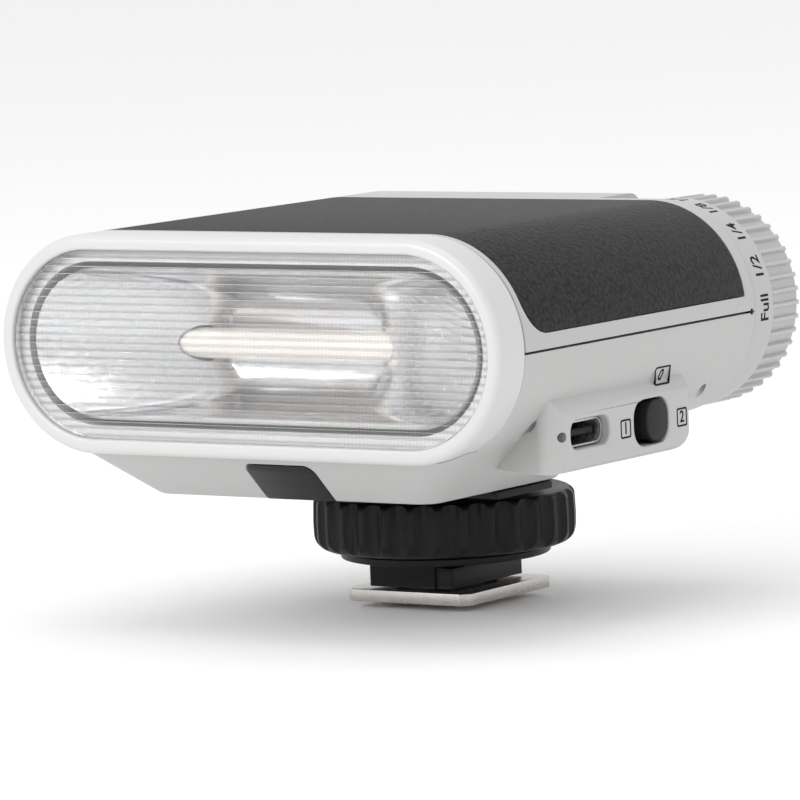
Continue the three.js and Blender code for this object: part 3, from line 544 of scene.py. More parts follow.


# The bezel gets the body's silver paint made lighter: painted light standing for the front light on
# its face.
bezelLitPaint = plastic("bezelLitPaint", (0.66, 0.66, 0.655), (0.8, 0.8, 0.79), 0.38, 0.1, wear=0.3)
silverPaint = plastic("silverPaint", (0.52, 0.52, 0.515), (0.7, 0.7, 0.69), 0.42, 0.15)
blackPlastic = plastic("blackPlastic", (0.006, 0.006, 0.0065), (0.03, 0.03, 0.03), 0.4,
                       grainScale=2600.0, relief=0.01, wear=0.7, gloss=0.22)
knobPlastic = plastic("knobPlastic", (0.016, 0.016, 0.017), (0.05, 0.05, 0.05), 0.5, gloss=0.25)
glossBlack = plastic("glossBlack", (0.007, 0.007, 0.008), (0.03, 0.03, 0.03), 0.2, wear=0.3,
                     gloss=0.3)
siliconeLook = plastic("siliconeLook", (0.62, 0.6, 0.56), (0.7, 0.68, 0.64), 0.6)
boardGreen = plastic("boardGreen", (0.03, 0.16, 0.08), (0.3, 0.25, 0.1), 0.35, grainScale=900.0)
sleeveBlack = plastic("sleeveBlack", (0.03, 0.03, 0.045), (0.1, 0.1, 0.12), 0.3)
tapeBrown = plastic("tapeBrown", (0.09, 0.06, 0.04), (0.16, 0.11, 0.07), 0.55)
inkBlack = plastic("inkBlack", (0.008, 0.008, 0.008), (0.02, 0.02, 0.02), 0.6, wear=0.1,
                   gloss=0.15)
nickelPlate = brushed("nickelPlate", (0.66, 0.62, 0.59), 0.3, (500, 9000, 2000))
plainSteel = brushed("plainSteel", (0.6, 0.61, 0.62), 0.3, (3000, 3000, 400))
foilSilver = brushed("foilSilver", (0.6, 0.62, 0.64), 0.35, (600, 4000, 4000))
copperWire = brushed("copperWire", (0.55, 0.27, 0.12), 0.3, (600, 600, 9000))
goldContact = brushed("goldContact", (0.83, 0.62, 0.3), 0.22, (3000, 3000, 800))
mirrorMetal = brushed("mirrorMetal", (0.9, 0.9, 0.91), 0.2, (400, 2500, 2500), 0.1)
leather = leatherLook("leather")
lensClear = clearLens("lensClear")


def lampLook(name, colour, glow):
    material, tree, shader = newTree(name)
    texture = placeGroup(tree, grain, scale=2500.0, spread=400.0)
    tree.links.new(mixColours(tree, texture.outputs["slow"], colour, glow),
                   shader.inputs["Base Color"])
    shader.inputs["Roughness"].default_value = 0.12
    shader.inputs["Coat Weight"].default_value = 0.5
    return material


lampClear = lampLook("lampClear", (0.03, 0.033, 0.036), (0.06, 0.065, 0.07))
lampRed = lampLook("lampRed", (0.5, 0.08, 0.04), (0.7, 0.16, 0.08))


def tubeLook(name):
    material, tree, shader = newTree(name)
    texture = placeGroup(tree, grain, scale=900.0, spread=200.0)
    tree.links.new(mixColours(tree, texture.outputs["slow"], (0.98, 0.9, 0.82), (1.0, 0.95, 0.9)),
                   shader.inputs["Base Color"])
    shader.inputs["Roughness"].default_value = 0.15
    shader.inputs["Coat Weight"].default_value = 0.4
    return material


tubeGlass = tubeLook("tubeGlass")
print("materials ready")

# Camera and light.
camera = {
    "azimuth": 34.635, "elevation": 6.003, "roll": -2.311,  # degrees
    "place": (436.20, -640.07, 106.48),  # mm
    "lens": 279.9, "shiftX": -0.0011, "shiftY": -0.0035,
}


lights = {
    "world": 0.92,
    "topLight": ((0.0, -0.1, 0.9), (0.7, 0.7), 1.5),  # place, size and watts
    "frontLight": ((-0.3, -0.85, 0.42), (0.4, 0.4), 2.6),
    "aim": (0, 0, 0.03),
}


def addCamera():
    turn, lift = math.radians(camera["azimuth"]), math.radians(camera["elevation"])
    roll = math.radians(camera["roll"])
    back = Vector((math.sin(turn) * math.cos(lift), -math.cos(turn) * math.cos(lift),
                   math.sin(lift)))
    right = Vector((math.cos(turn), math.sin(turn), 0))
    up = back.cross(right)
    tiltedRight = math.cos(roll) * right + math.sin(roll) * up
    tiltedUp = -math.sin(roll) * right + math.cos(roll) * up
    data = bpy.data.cameras.new("camera")
    data.lens = camera["lens"]
    data.sensor_width = 36
    data.shift_x = camera["shiftX"]
    data.shift_y = camera["shiftY"]
    data.clip_start = 0.01
    data.clip_end = 20
    obj = bpy.data.objects.new("camera", data)
    turned = Matrix((tiltedRight, tiltedUp, back)).transposed().to_4x4()
    obj.matrix_world = Matrix.Translation(Vector(camera["place"]) * mm) @ turned
    bpy.context.scene.collection.objects.link(obj)
    bpy.context.scene.camera = obj


def addSoftbox(name):
    place, size, power = lights[name]
    data = bpy.data.lights.new(name, "AREA")
    data.shape = "RECTANGLE"
    data.size, data.size_y = size
    data.energy = power
    obj = bpy.data.objects.new(name, data)
    obj.location = place
    obj.rotation_euler = (Vector(lights["aim"]) - Vector(place)).to_track_quat("-Z", "Y").to_euler()
    bpy.context.scene.collection.objects.link(obj)


def addFloor():
    bpy.ops.mesh.primitive_plane_add(size=8, location=(0, 0, floorZ - 0.0001))
    floor = bpy.context.object
    floor.name = "floor"
    material, tree, shader = newTree("floorPaper")
    texture = placeGroup(tree, grain, scale=300.0, spread=3.0)
    tree.links.new(mixColours(tree, texture.outputs["slow"], (0.95, 0.95, 0.95), (0.97, 0.97, 0.97)),
                   shader.inputs["Base Color"])
    shader.inputs["Roughness"].default_value = 0.8
    floor.data.materials.append(material)


def addWorld():
    world = bpy.data.worlds.new("world")
    world.use_nodes = True
    world.node_tree.nodes["Background"].inputs["Color"].default_value = (1, 1, 1, 1)
    world.node_tree.nodes["Background"].inputs["Strength"].default_value = lights["world"]
    bpy.context.scene.world = world
    bpy.context.scene.view_settings.view_transform = "Standard"


addCamera()
addWorld()
addFloor()
addSoftbox("topLight")
addSoftbox("frontLight")
print("camera and light ready")


# Front bezel.
bezel = {"round": 1.0, "face": 1.9, "innerRound": 0.35, "ledge": 1.5, "backRound": 0.12,
         "step": 2.5, "spigot": 2.4}


def makeBezel():
    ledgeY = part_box("fresnel_lens")[1].y
    inner = bezel["face"] * mm
    ledge = inner + bezel["ledge"] * mm
    spigotBackY = bezelBackY + bezel["spigot"] * mm
    section = [
        (frontY, 0, bezel["round"] * mm),
        (bezelBackY, 0, bezel["backRound"] * mm),
        (bezelBackY, bezel["step"] * mm),
        (spigotBackY, bezel["step"] * mm),
        (spigotBackY, ledge),
        (ledgeY, ledge),
        (ledgeY, inner),
        (frontY, inner, bezel["innerRound"] * mm),
    ]
    obj = headRing("front_bezel_look", section, steps=48)
    smooth(obj, 35)
    settle(obj, bezelLitPaint, "housing", "bezel_white", "front_bezel")


makeBezel()
print("bezel ready")

# Lens.
lens = {"ridge": 0.95, "relief": 0.14, "rim": 0.12}


def makeLens():
    low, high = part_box("fresnel_lens")
    inset = endX + endRadius - high.x
    relief = lens["relief"] * mm
    body = headSolid("fresnel_lens_look", inset, low.y, high.y - relief, 40)
    soften(body, lens["rim"] * mm, 2, flush("Y", low.y))
    # prism ridges across the back
    pitch = lens["ridge"] * mm
    count = int((high.z - low.z) / pitch) + 1
    points = [(high.y - 0.6 * mm, low.z - 0.2 * mm)]
    for k in range(count):
        z = low.z + k * pitch
        points.append((high.y - relief, z))
        points.append((high.y, z + pitch * 0.92))
    points.append((high.y - 0.6 * mm, low.z + count * pitch))
    ridges = prism("ridges", points, "X", -endX - endRadius, endX + endRadius)
    edge = headSolid("edge", inset + 0.02 * mm, low.y, high.y + mm, 40)
    combine(ridges, edge, "INTERSECT")
    combine(body, ridges, "UNION")
    smooth(body, 20)
    settle(body, lensClear, "housing", "clear_lens", "fresnel_lens")


makeLens()
print("lens ready")

# Reflector and flash tube.
reflector = {"wall": 0.45, "slotWidth": 25, "slotHeight": 8.4, "steps": 14, "hole": 2.2}
tube = {"round": 0.6, "capSlack": 0.1, "capWall": 0.8, "mouthRound": 0.5}


def makeReflector():
    low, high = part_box("reflector")
    halfWidth = (high.x - low.x) / 2 - reflector["wall"] * mm
    halfHeight = (high.z - low.z) / 2 - reflector["wall"] * mm
    depth = high.y - low.y - reflector["wall"] * mm
    widthShare = reflector["slotWidth"] * mm / 2 / halfWidth
    heightShare = reflector["slotHeight"] * mm / 2 / halfHeight
    outline = headOutline(axisZ + endRadius - high.z + reflector["wall"] * mm, 16)
    obj = drawLine("reflector_look", [(x, low.y, z) for x, z in outline])
    bpy.ops.mesh.select_all(action="SELECT")
    lastWide, lastTall = 1.0, 1.0
    for k in range(reflector["steps"]):
        opening = 1 - (k + 1) / reflector["steps"]
        wide = widthShare + (1 - widthShare) * opening ** 2
        tall = heightShare + (1 - heightShare) * math.sqrt(opening)
        slide = {"value": (0, depth / reflector["steps"], 0)}
        bpy.ops.mesh.extrude_region_move(TRANSFORM_OT_translate=slide)
        y = low.y + depth * (k + 1) / reflector["steps"]
        bpy.ops.transform.resize(value=(wide / lastWide, 1, tall / lastTall),
                                 center_override=(0, y, axisZ))
        lastWide, lastTall = wide, tall
    bpy.ops.mesh.edge_face_add()
    bpy.ops.mesh.select_all(action="SELECT")
    bpy.ops.mesh.normals_make_consistent(inside=False)
    closeEdit()
    wall = obj.modifiers.new("wall", "SOLIDIFY")
    wall.thickness = reflector["wall"] * mm
    wall.offset = 1
    applyAll(obj)
    openEdit(obj)
    tidyMesh()
    tubeLow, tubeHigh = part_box("xenon_tube")
    tubeY = (tubeLow.y + tubeHigh.y) / 2
    hole = prism("hole", circle(reflector["hole"] * mm, tubeY, axisZ), "X", -endX, endX)
    combine(obj, hole, "DIFFERENCE")
    smooth(obj, 40)
    settle(obj, mirrorMetal, "housing", "reflector_metal", "reflector")


def makeTube():
    low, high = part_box("xenon_tube")
    centre = (low.x, (low.y + high.y) / 2, axisZ)
    radius = (high.z - low.z) / 2 / mm
    length = (high.x - low.x) / mm
    glass = turned("xenon_tube_look", [
        (0, 0), (radius, 0, tube["round"]), (radius, length, tube["round"]), (0, length),
    ], centre, "X", 40)
    smooth(glass)
    settle(glass, tubeGlass, "housing", "tube_glass", "xenon_tube")
    for side, label in ((-1, "left"), (1, "right")):
        low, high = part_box("tube_cap_" + label)
        capLength = (high.x - low.x) / mm
        capRadius = (high.z - low.z) / 2 / mm
        bore = radius + tube["capSlack"]
        web = capLength - tube["capWall"]
        section = [(bore, 0), (capRadius, 0, tube["mouthRound"]),
                   (capRadius, capLength, tube["capWall"]), (0, capLength), (0, web), (bore, web)]
        if side < 0:
            section = [(item[0], capLength - item[1], *item[2:]) for item in reversed(section)]
        cap = turned(f"tube_cap_{label}_look", section, (low.x, centre[1], axisZ), "X", 32, True)
        smooth(cap)
        settle(cap, siliconeLook, "housing", "silicone", "tube_cap_" + label)


makeReflector()
makeTube()
print("flash tube ready")

# Casing.
casing = {"wall": 1.6, "coverWall": 2.2, "halfSeam": 0.15, "edge": 0.18, "lowFront": 0.05,
          "pocket": 0.9, "leather": 0.6, "slack": 0.15, "corner": 4.0, "dot": 0.42, "dotY": 15.2}
pedestal = {"front": -33, "shoulder": -6, "nose": 13, "corner": 2.5, "setIn": 2.775,
            "rise": 2.9, "low": 16, "floor": 2, "chinLean": 1.05, "leanBack": 0.053, "edge": 0.35}
console = {"setIn": 0.55, "front": -30, "back": 1, "low": 19.6, "high": 26.8, "slope": 2.2,
           "slopeIn": 1.7, "root": 20, "lowCorner": 4, "frontCorner": 2.2, "sweep": 22,
           "edge": 0.45, "wall": 1.2}
ports = {"socketY": -21.6, "socketZ": 23.95, "socketWidth": 8.6, "socketHeight": 3.5,
         "socketCorner": 1.4, "socketRim": 0.32, "switchY": -7.9, "switchZ": 23.75,
         "slotWidth": 8, "slotHeight": 5.7, "slotCorner": 2.3, "slotRim": 0.28,
         "ledY": -27.6, "ledZ": 24, "ledHole": 0.6, "depth": 4, "socketDepth": 9}
window = {"left": -3.2, "right": 6.7, "top": 20.75, "corner": 1.2, "thick": 0.6, "back": -30.5}
scoops = {"front": ((32.3, -28.6, 26.1), (30.1, -29.2, 23.0), 1.0),
          "rear": ((32.6, 8.8, 26.7), (32.0, 9.9, 24.1), 1.05), "tail": 0.4}
consoleFaceX = endX + endRadius - console["setIn"] * mm
coverFrontY = bezelBackY + 0.3 * mm
coverBackY = rearFrontY - 0.3 * mm
leatherLow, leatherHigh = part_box("top_leather")
seamZ = seamLowZ + casing["halfSeam"] * mm


def leatherPlan(slack):
    front, back = leatherLow.y - slack, leatherHigh.y + slack
    low = leatherLow.z - slack
    corner = casing["corner"] * mm + slack
    return rounded([(front, far), (front, low, corner), (back, low, 0.2 * mm), (back, far)], 10)


def leatherLayer(name, depth, slack, over, steps=48):
    body = headSolid(name, -over, leatherLow.y - 2 * mm, leatherHigh.y + 1.5 * mm, steps)
    core = headSolid("core", depth, leatherLow.y - 3 * mm, leatherHigh.y + 3 * mm, steps)
    combine(body, core, "DIFFERENCE")
    combine(body, prism("side", leatherPlan(slack), "X", -far, far), "INTERSECT")
    return body


def seamDot():
    return prism("dot", circle(casing["dot"] * mm, casing["dotY"] * mm, seamZ, 20), "X",
                 endX + endRadius - 0.9 * mm, far)


def makeTopCover():
    body = headSolid("top_cover_look", 0, coverFrontY, coverBackY, 48)
    soften(body, casing["edge"] * mm, 3, flush("Y", coverFrontY, coverBackY))
    pocket = leatherLayer("pocket", casing["pocket"] * mm, casing["slack"] * mm, mm)
    combine(body, pocket, "DIFFERENCE")
    inside = headSolid("inside", casing["coverWall"] * mm, coverFrontY - mm, coverBackY + mm, 48)
    combine(body, inside, "DIFFERENCE")
    below = rectangle(-far, 0, far, seamZ + casing["halfSeam"] * mm)
    combine(body, prism("below", below, "X", -far, far), "DIFFERENCE")
    combine(body, seamDot(), "DIFFERENCE")
    bevelEdges(body, 0.07 * mm, 2, 50)
    smooth(body)
    settle(body, silverPaint, "housing", "silver_plastic", "top_cover")


def makeLeather():
    body = leatherLayer("top_leather_look", casing["leather"] * mm, 0, 0)
    bevelEdges(body, 0.14 * mm, 3, 50)
    smooth(body)
    settle(body, leather, "housing", "leatherette", "top_leather")


def pedestalPlan(inset):
    half = endX - pedestal["setIn"] * mm - inset
    front = pedestal["front"] * mm + inset
    shoulder = pedestal["shoulder"] * mm
    nose = pedestal["nose"] * mm - inset
    corner = pedestal["corner"] * mm
    path = rounded([(-half, shoulder), (-half, front, corner), (half, front, corner),
                    (half, shoulder)])
    start = math.atan2(shoulder, half) + math.acos(nose / math.hypot(half, shoulder))
    for k in range(33):
        angle = start + (math.pi - 2 * start) * k / 32
        path.append(Vector((nose * math.cos(angle), nose * math.sin(angle))))
    return path


# The pedestal's sides and chin lean outwards on the way up.
def pedestalSolid(name, inset, low):
    setIn = pedestal["setIn"] * mm
    rise = axisZ - pedestal["low"] * mm
    tangent = math.atan2(setIn, rise) + math.asin(endRadius / math.hypot(setIn, rise))
    sideLean = math.tan(tangent) - pedestal["leanBack"]
    shoulder = pedestal["shoulder"] * mm
    widthGain = sideLean / (endX - setIn)
    lengthGain = pedestal["chinLean"] / (shoulder - pedestal["front"] * mm)
    high = axisZ - endRadius + pedestal["rise"] * mm
    obj = prism(name, pedestalPlan(inset), "Z", low, high)
    openEdit(obj)
    for z in (low, high):
        climb = z - pedestal["low"] * mm
        choose(obj, "VERT", flush("Z", z))
        bpy.ops.transform.resize(value=(1 + widthGain * climb, 1, 1), center_override=(0, 0, z))
        choose(obj, "VERT", lambda c: abs(c.z - z) < near and c.y < shoulder + near)
        bpy.ops.transform.resize(value=(1, 1 + lengthGain * climb, 1),
                                 center_override=(0, shoulder, z))
    tidyMesh()
    return obj


def consoleSolid(name, inset, floorInset):
    face = consoleFaceX - inset
    low = console["low"] * mm + floorInset
    back = console["back"] * mm - inset
    high = console["high"] * mm
    top = high + console["slope"] * mm - inset
    root = console["root"] * mm
    sweep = math.tan(math.radians(console["sweep"]))
    front = console["front"] * mm + inset * math.hypot(1, sweep)
    body = prism(name, rounded([(root, low), (face, low, mm), (face, high, 1.4 * mm),
                                (face - console["slopeIn"] * mm, top), (root, top)]),
                 "Y", -far, far)
    corner = console["lowCorner"] * mm
    side = rounded([(-far, low), (back, low, corner), (back, far), (-far, far)], 10)
    combine(body, prism("side", side, "X", 0, far), "INTERSECT")
    plan = rounded([(root, front + (face - root) * sweep),
                    (face, front, console["frontCorner"] * mm), (face, back, 0.8 * mm),
                    (root, back)], 8)
    combine(body, prism("plan", plan, "Z", 0, far), "INTERSECT")
    return body


def roundedSlot(y, z, width, height, corner):
    return rounded([(y - width / 2, z - height / 2, corner), (y + width / 2, z - height / 2, corner),
                    (y + width / 2, z + height / 2, corner), (y - width / 2, z + height / 2, corner)])


def rimOf(y, z, width, height):
    def test(c):
        inside = abs(c.y - y) < width / 2 + 1e-5 and abs(c.z - z) < height / 2 + 1e-5
        return inside and abs(c.x - consoleFaceX) < near
    return test


# A teardrop hollow beside the console: round at its head and narrow at its tail.
def scoop(head, tail, headRadius, tailRadius):
    start, end = Vector(head) * mm, Vector(tail) * mm
    length = (end - start).length / mm
    tool = turned("scoop", [(0, -headRadius), (headRadius, -headRadius, headRadius * 0.9),
                            (headRadius, 0.2), (tailRadius, length), (0, length + tailRadius)],
                  (0, 0, 0), "Z", 20)
    tool.location = start
    tool.rotation_euler = (end - start).to_track_quat("Z", "Y").to_euler()
    bpy.context.view_layer.update()
    return tool


def windowOutline(slack):
    left, right = window["left"] * mm - slack, window["right"] * mm + slack
    top, corner = window["top"] * mm + slack, window["corner"] * mm
    return rounded([(left, 0), (right, 0), (right, top, corner), (left, top, corner)])


def makeLowerShell():
    wall = casing["wall"] * mm
    shellFrontY = bezelBackY + casing["lowFront"] * mm
    body = headSolid("lower_shell_look", 0, shellFrontY, coverBackY, 48)
    soften(body, casing["edge"] * mm, 3, flush("Y", shellFrontY, coverBackY))
    base = pedestalSolid("base", 0, pedestal["low"] * mm)
    soften(base, pedestal["edge"] * mm, 3, flush("Z", pedestal["low"] * mm))
    combine(base, headSolid("nose", -0.05 * mm, -far, shellFrontY, 48), "DIFFERENCE")
    combine(body, base, "UNION")
    block = consoleSolid("console", 0, 0)
    bevelEdges(block, console["edge"] * mm, 3, 40)
    combine(body, block, "UNION")
    for end in ("front", "rear"):
        combine(body, scoop(*scoops[end], scoops["tail"]), "DIFFERENCE")
    hollow = headSolid("hollow", wall, shellFrontY - mm, coverBackY + mm, 48)
    combine(body, hollow, "DIFFERENCE")
    cut = pedestalSolid("cut", wall, (pedestal["low"] + pedestal["floor"]) * mm)
    front = rectangle(-far, 0, shellFrontY + mm, far)
    combine(cut, prism("front", front, "X", -far, far), "DIFFERENCE")
    combine(body, cut, "DIFFERENCE")
    combine(body, consoleSolid("cut", wall, console["wall"] * mm), "DIFFERENCE")
    above = rectangle(-far, seamZ - casing["halfSeam"] * mm, far, far)
    combine(body, prism("above", above, "X", -far, far), "DIFFERENCE")
    slab = prism("slab", windowOutline(casing["slack"] * mm), "Y", -far, window["back"] * mm)
    core = pedestalSolid("core", (window["thick"] + 0.3) * mm, (pedestal["low"] - 1) * mm)
    combine(slab, core, "DIFFERENCE")
    combine(body, slab, "DIFFERENCE")
    for place, port, depth in (("socket", "socket", "socketDepth"), ("switch", "slot", "depth")):
        y, z = ports[place + "Y"] * mm, ports[place + "Z"] * mm
        width, height = ports[port + "Width"] * mm, ports[port + "Height"] * mm
        hole = roundedSlot(y, z, width, height, ports[port + "Corner"] * mm)
        back = consoleFaceX - ports[depth] * mm
        combine(body, prism("hole", hole, "X", back, far), "DIFFERENCE")
        soften(body, ports[port + "Rim"] * mm, 3, rimOf(y, z, width, height))
    lamp = circle(ports["ledHole"] * mm, ports["ledY"] * mm, ports["ledZ"] * mm, 24)
    combine(body, prism("lamp", lamp, "X", consoleFaceX - ports["depth"] * mm, far), "DIFFERENCE")
    combine(body, seamDot(), "DIFFERENCE")
    smooth(body)
    settle(body, silverPaint, "housing", "silver_plastic", "lower_shell")


makeTopCover()
print("top cover ready")
makeLeather()
print("leather ready")
makeLowerShell()
print("lower shell ready")

# Rear cover.
rear = {"round": 2.8, "plug": 2.6, "wall": 1.6, "pocketX": 14.5, "pocketSlack": 0.6,
        "slack": 0.3, "buttonSlack": 0.25, "collar": 1}
dial = {"setIn": 0.3, "ribHeight": 0.55, "ribs": 46, "bandEnd": 20.9, "rim": 1.5, "hub": 4.8,
        "bore": 3.3, "web": 1.8, "labelY": 18.9, "labelSize": 2.55, "pitch": 22.5}
dialLow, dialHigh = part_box("power_dial")
dialRadius = endRadius - dial["setIn"] * mm


def makeRearCover():
    body = headSolid("rear_cover_look", 0, rearFrontY, rearBackY, 48)
    soften(body, rear["round"] * mm, 8, flush("Y", rearBackY))
    soften(body, casing["edge"] * mm, 3, flush("Y", rearFrontY))
    plugInset = (casing["coverWall"] + rear["slack"]) * mm
    plugFrontY = coverBackY - rear["plug"] * mm
    combine(body, headSolid("plug", plugInset, plugFrontY, rearFrontY + mm, 40), "UNION")
    pocketFloorY = dialLow.y - rear["slack"] * mm
    corner = [(rear["pocketX"] * mm, pocketFloorY, 0.4 * mm), (far, pocketFloorY), (far, far),
              (rear["pocketX"] * mm, far)]
    combine(body, prism("pocket", rounded(corner), "Z", 0, far), "DIFFERENCE")
    radius = dialRadius + rear["pocketSlack"] * mm
    combine(body, prism("pocket", circle(radius, endX, axisZ, 96), "Y", pocketFloorY, far),
            "DIFFERENCE")
    hollow = headSolid("hollow", plugInset + rear["wall"] * mm, plugFrontY - mm,
                       rearBackY - rear["wall"] * mm, 32)
    right = rectangle(endX - radius - rear["wall"] * mm, 0, far, far)
    combine(hollow, prism("right", right, "Y", -far, far), "DIFFERENCE")
    combine(body, hollow, "DIFFERENCE")
    shaftLow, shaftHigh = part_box("dial_shaft")
    shaftHole = (shaftHigh.x - shaftLow.x) / 2 + rear["slack"] * mm
    combine(body, prism("bore", circle(shaftHole, endX, axisZ), "Y", 0, far), "DIFFERENCE")
    for node in ("test_button", "ready_led"):
        low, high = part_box(node)
        radius = (high.x - low.x) / 2 + rear["buttonSlack"] * mm
        if node == "test_button":
            radius -= rear["collar"] * mm
        hole = circle(radius, (low.x + high.x) / 2, axisZ, 48)
        combine(body, prism("hole", hole, "Y", 0, far), "DIFFERENCE")
    bevelEdges(body, 0.12 * mm, 2, 50)
    smooth(body)
    settle(body, silverPaint, "housing", "silver_plastic", "rear_cover")


# Power dial.
def dialOutline():
    outer = dialRadius
    root = outer - dial["ribHeight"] * mm
    pitch = tau / dial["ribs"]
    shape = [(0.0, root), (0.3, root + 0.02 * mm), (0.6, root), (0.69, outer - 0.08 * mm),
             (0.74, outer), (0.88, outer), (0.93, outer - 0.08 * mm)]
    points = []
    for rib in range(dial["ribs"]):
        for share, radius in shape:
            angle = (rib + share) * pitch
            points.append((endX + radius * math.cos(angle), axisZ + radius * math.sin(angle)))
    return points


def makeDial():
    length = (dialHigh.y - dialLow.y) / mm
    radius = dialRadius / mm
    root = radius - dial["ribHeight"]
    bandEnd = dial["bandEnd"] - dialLow.y / mm
    inner = root - dial["rim"]
    body = turned("power_dial_look", [
        (0, length - 0.5), (root - 3.4, length - 0.5), (root - 2.9, length), (root, length, 0.5),
        (root, bandEnd), (radius, bandEnd, 0.12), (radius, 0, 0.2), (inner, 0),
        (inner, length - dial["web"]), (dial["hub"], length - dial["web"]), (dial["hub"], 0.4),
        (dial["bore"], 0.4), (dial["bore"], length - 2.4), (0, length - 2.4),
    ], (endX, dialLow.y, axisZ), "Y", 128)
    ribStart = dial["bandEnd"] * mm - 0.05 * mm
    ribLength = (dialHigh.y - ribStart) / mm
    ribs = prism("ribs", dialOutline(), "Y", ribStart, dialHigh.y)
    barrel = turned("barrel", [
        (root - 0.4, 0), (radius + 0.02, 0), (radius + 0.02, ribLength, 0.5),
        (root - 0.4, ribLength - 0.2),
    ], (endX, ribStart, axisZ), "Y", 144, True)
    combine(ribs, barrel, "INTERSECT")
    combine(body, ribs, "UNION")
    smooth(body, 30)
    settle(body, silverPaint, "dial", "silver_plastic", "power_dial")


# Flat lettering, thickened a little and then laid on its surface by the given rule.
def lettering(name, words, size, rule, thickness=0.03):
    onlySelect(bpy.data.objects["front_bezel_look"])
    bpy.ops.object.text_add(location=(0, 0, 0))
    obj = bpy.context.object
    obj.data.body = words
    obj.data.size = size * mm
    obj.data.align_x = "CENTER"
    obj.data.align_y = "CENTER"
    obj.data.resolution_u = 3
    obj.data.extrude = thickness / 2 * mm
    obj.data.offset = 0.035 * mm
    onlySelect(obj)
    bpy.ops.object.convert(target="MESH")
    obj = bpy.context.object
    obj.name = name
    obj.data.name = name
    layOn(obj, rule)
    return obj


def layOn(obj, rule):
    openEdit(obj)
    bpy.ops.mesh.select_all(action="SELECT")
    bpy.ops.mesh.remove_doubles(threshold=0.001 * mm)
    closeEdit()
    for vertex in obj.data.vertices:
        vertex.co = rule(vertex.co)
    openEdit(obj)
    bpy.ops.mesh.select_all(action="SELECT")
    bpy.ops.mesh.normals_make_consistent(inside=False)
    closeEdit()


# On the dial's band the words run up the side, with the tops of the letters to the front.
def onDial(centreAngle):
    def rule(c):
        radius = dialRadius + c.z + 0.008 * mm
        angle = centreAngle + c.x / dialRadius
        return Vector((endX + radius * math.cos(angle), dial["labelY"] * mm - c.y,
                       axisZ + radius * math.sin(angle)))
    return rule


def makeDialLabels():
    names = ["Full", "1/2", "1/4", "1/8", "1/16", "1/32", "1/64", "1/128"]
    pieces = []
    for index, words in enumerate(names):
        angle = math.radians(dial["pitch"] * index - 1)
        pieces.append(lettering("label", words, dial["labelSize"], onDial(angle)))
    labels = joinAll(pieces, "dial_labels")
    settle(labels, inkBlack, "dial", "black_plastic")


makeRearCover()
print("rear cover ready")
makeDial()
makeDialLabels()
print("dial ready")

# Console details.
marks = {"size": 2.0, "boxWidth": 2.3, "boxHeight": 2.3, "line": 0.22, "proud": 0.012,
         "oneY": -13.9, "twoY": -1.15, "sideZ": 23.5, "offY": -4.1, "offZ": 28.9}


# On the console's face, and higher up on its slope or the head, whichever is further out.
def onConsole(y, z):
    def rule(c):
        height = z + c.y / mm
        climb = max(0, height - console["high"])
        slopeX = consoleFaceX - climb * console["slopeIn"] / console["slope"] * mm
        drop = axisZ - height * mm
        headX = endX + math.sqrt(endRadius ** 2 - drop ** 2)
        x = max(slopeX, headX) + c.z + marks["proud"] * mm
        return Vector((x, y * mm + c.x, height * mm))
    return rule


def boxedMark(words, y, z, wide=1.0):
    text = lettering("mark", words, marks["size"], onConsole(y, z))
    outerWidth, outerHeight = marks["boxWidth"] * wide, marks["boxHeight"]
    line = marks["line"]
    ring = prism("frame", roundedSlot(0, 0, outerWidth * mm, outerHeight * mm, 0.3 * mm), "Z",
                 -0.015 * mm, 0.015 * mm)
    hole = roundedSlot(0, 0, (outerWidth - 2 * line) * mm, (outerHeight - 2 * line) * mm,
                       0.16 * mm)
    combine(ring, prism("hole", hole, "Z", -mm, mm), "DIFFERENCE")
    layOn(ring, onConsole(y, z))
    return [text, ring]


def makeMarks():
    pieces = boxedMark("1", marks["oneY"], marks["sideZ"])
    pieces += boxedMark("2", marks["twoY"], marks["sideZ"])
    pieces += boxedMark("0", marks["offY"], marks["offZ"], 1.5)
    settle(joinAll(pieces, "switch_marks"), inkBlack, "housing", "black_plastic")


socket = {"flat": 0.15, "metal": 0.28, "back": 0.6, "pads": 11, "padStep": 0.5, "padWide": 0.26,
          "padThick": 0.06, "padBack": 3.4, "padFront": 0.5}
knob = {"depth": 3, "setIn": 0.15, "corner": 2, "lever": 1.6, "overlap": 0.5}


def makeSocket():
    low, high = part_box("usb_shell")
    y, z = (low.y + high.y) / 2, (low.z + high.z) / 2
    width, height = high.y - low.y, high.z - low.z
    corner = height / 2 - socket["flat"] * mm
    metal = socket["metal"] * mm
    shell = prism("usb_shell_look", roundedSlot(y, z, width, height, corner), "X", low.x, high.x)
    inner = roundedSlot(y, z, width - 2 * metal, height - 2 * metal, corner - metal)
    combine(shell, prism("inner", inner, "X", low.x + socket["back"] * mm, high.x + mm), "DIFFERENCE")
    bevelEdges(shell, 0.07 * mm, 2, 50)
    smooth(shell)
    settle(shell, plainSteel, "housing", "steel", "usb_shell")
    low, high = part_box("usb_tongue")
    tongue = prism("usb_tongue_look", roundedSlot(y, z, high.y - low.y, high.z - low.z, 0.2 * mm),
                   "X", low.x, high.x)
    bevelEdges(tongue, 0.1 * mm, 2, 50)
    smooth(tongue)
    settle(tongue, knobPlastic, "housing", "black_plastic", "usb_tongue")
    pads = []
    for side in (-1, 1):
        for k in range(socket["pads"]):
            padY = y + (k - socket["pads"] // 2) * socket["padStep"] * mm
            padZ = z + side * (high.z - low.z) / 2
            outline = roundedSlot(padY, padZ, socket["padWide"] * mm, socket["padThick"] * mm,
                                  0.02 * mm)
            pads.append(prism("pad", outline, "X", high.x - socket["padBack"] * mm,
                              high.x - socket["padFront"] * mm))
    contacts = joinAll(pads, "usb_contacts")
    smooth(contacts)
    settle(contacts, goldContact, "housing", "contact_brass")


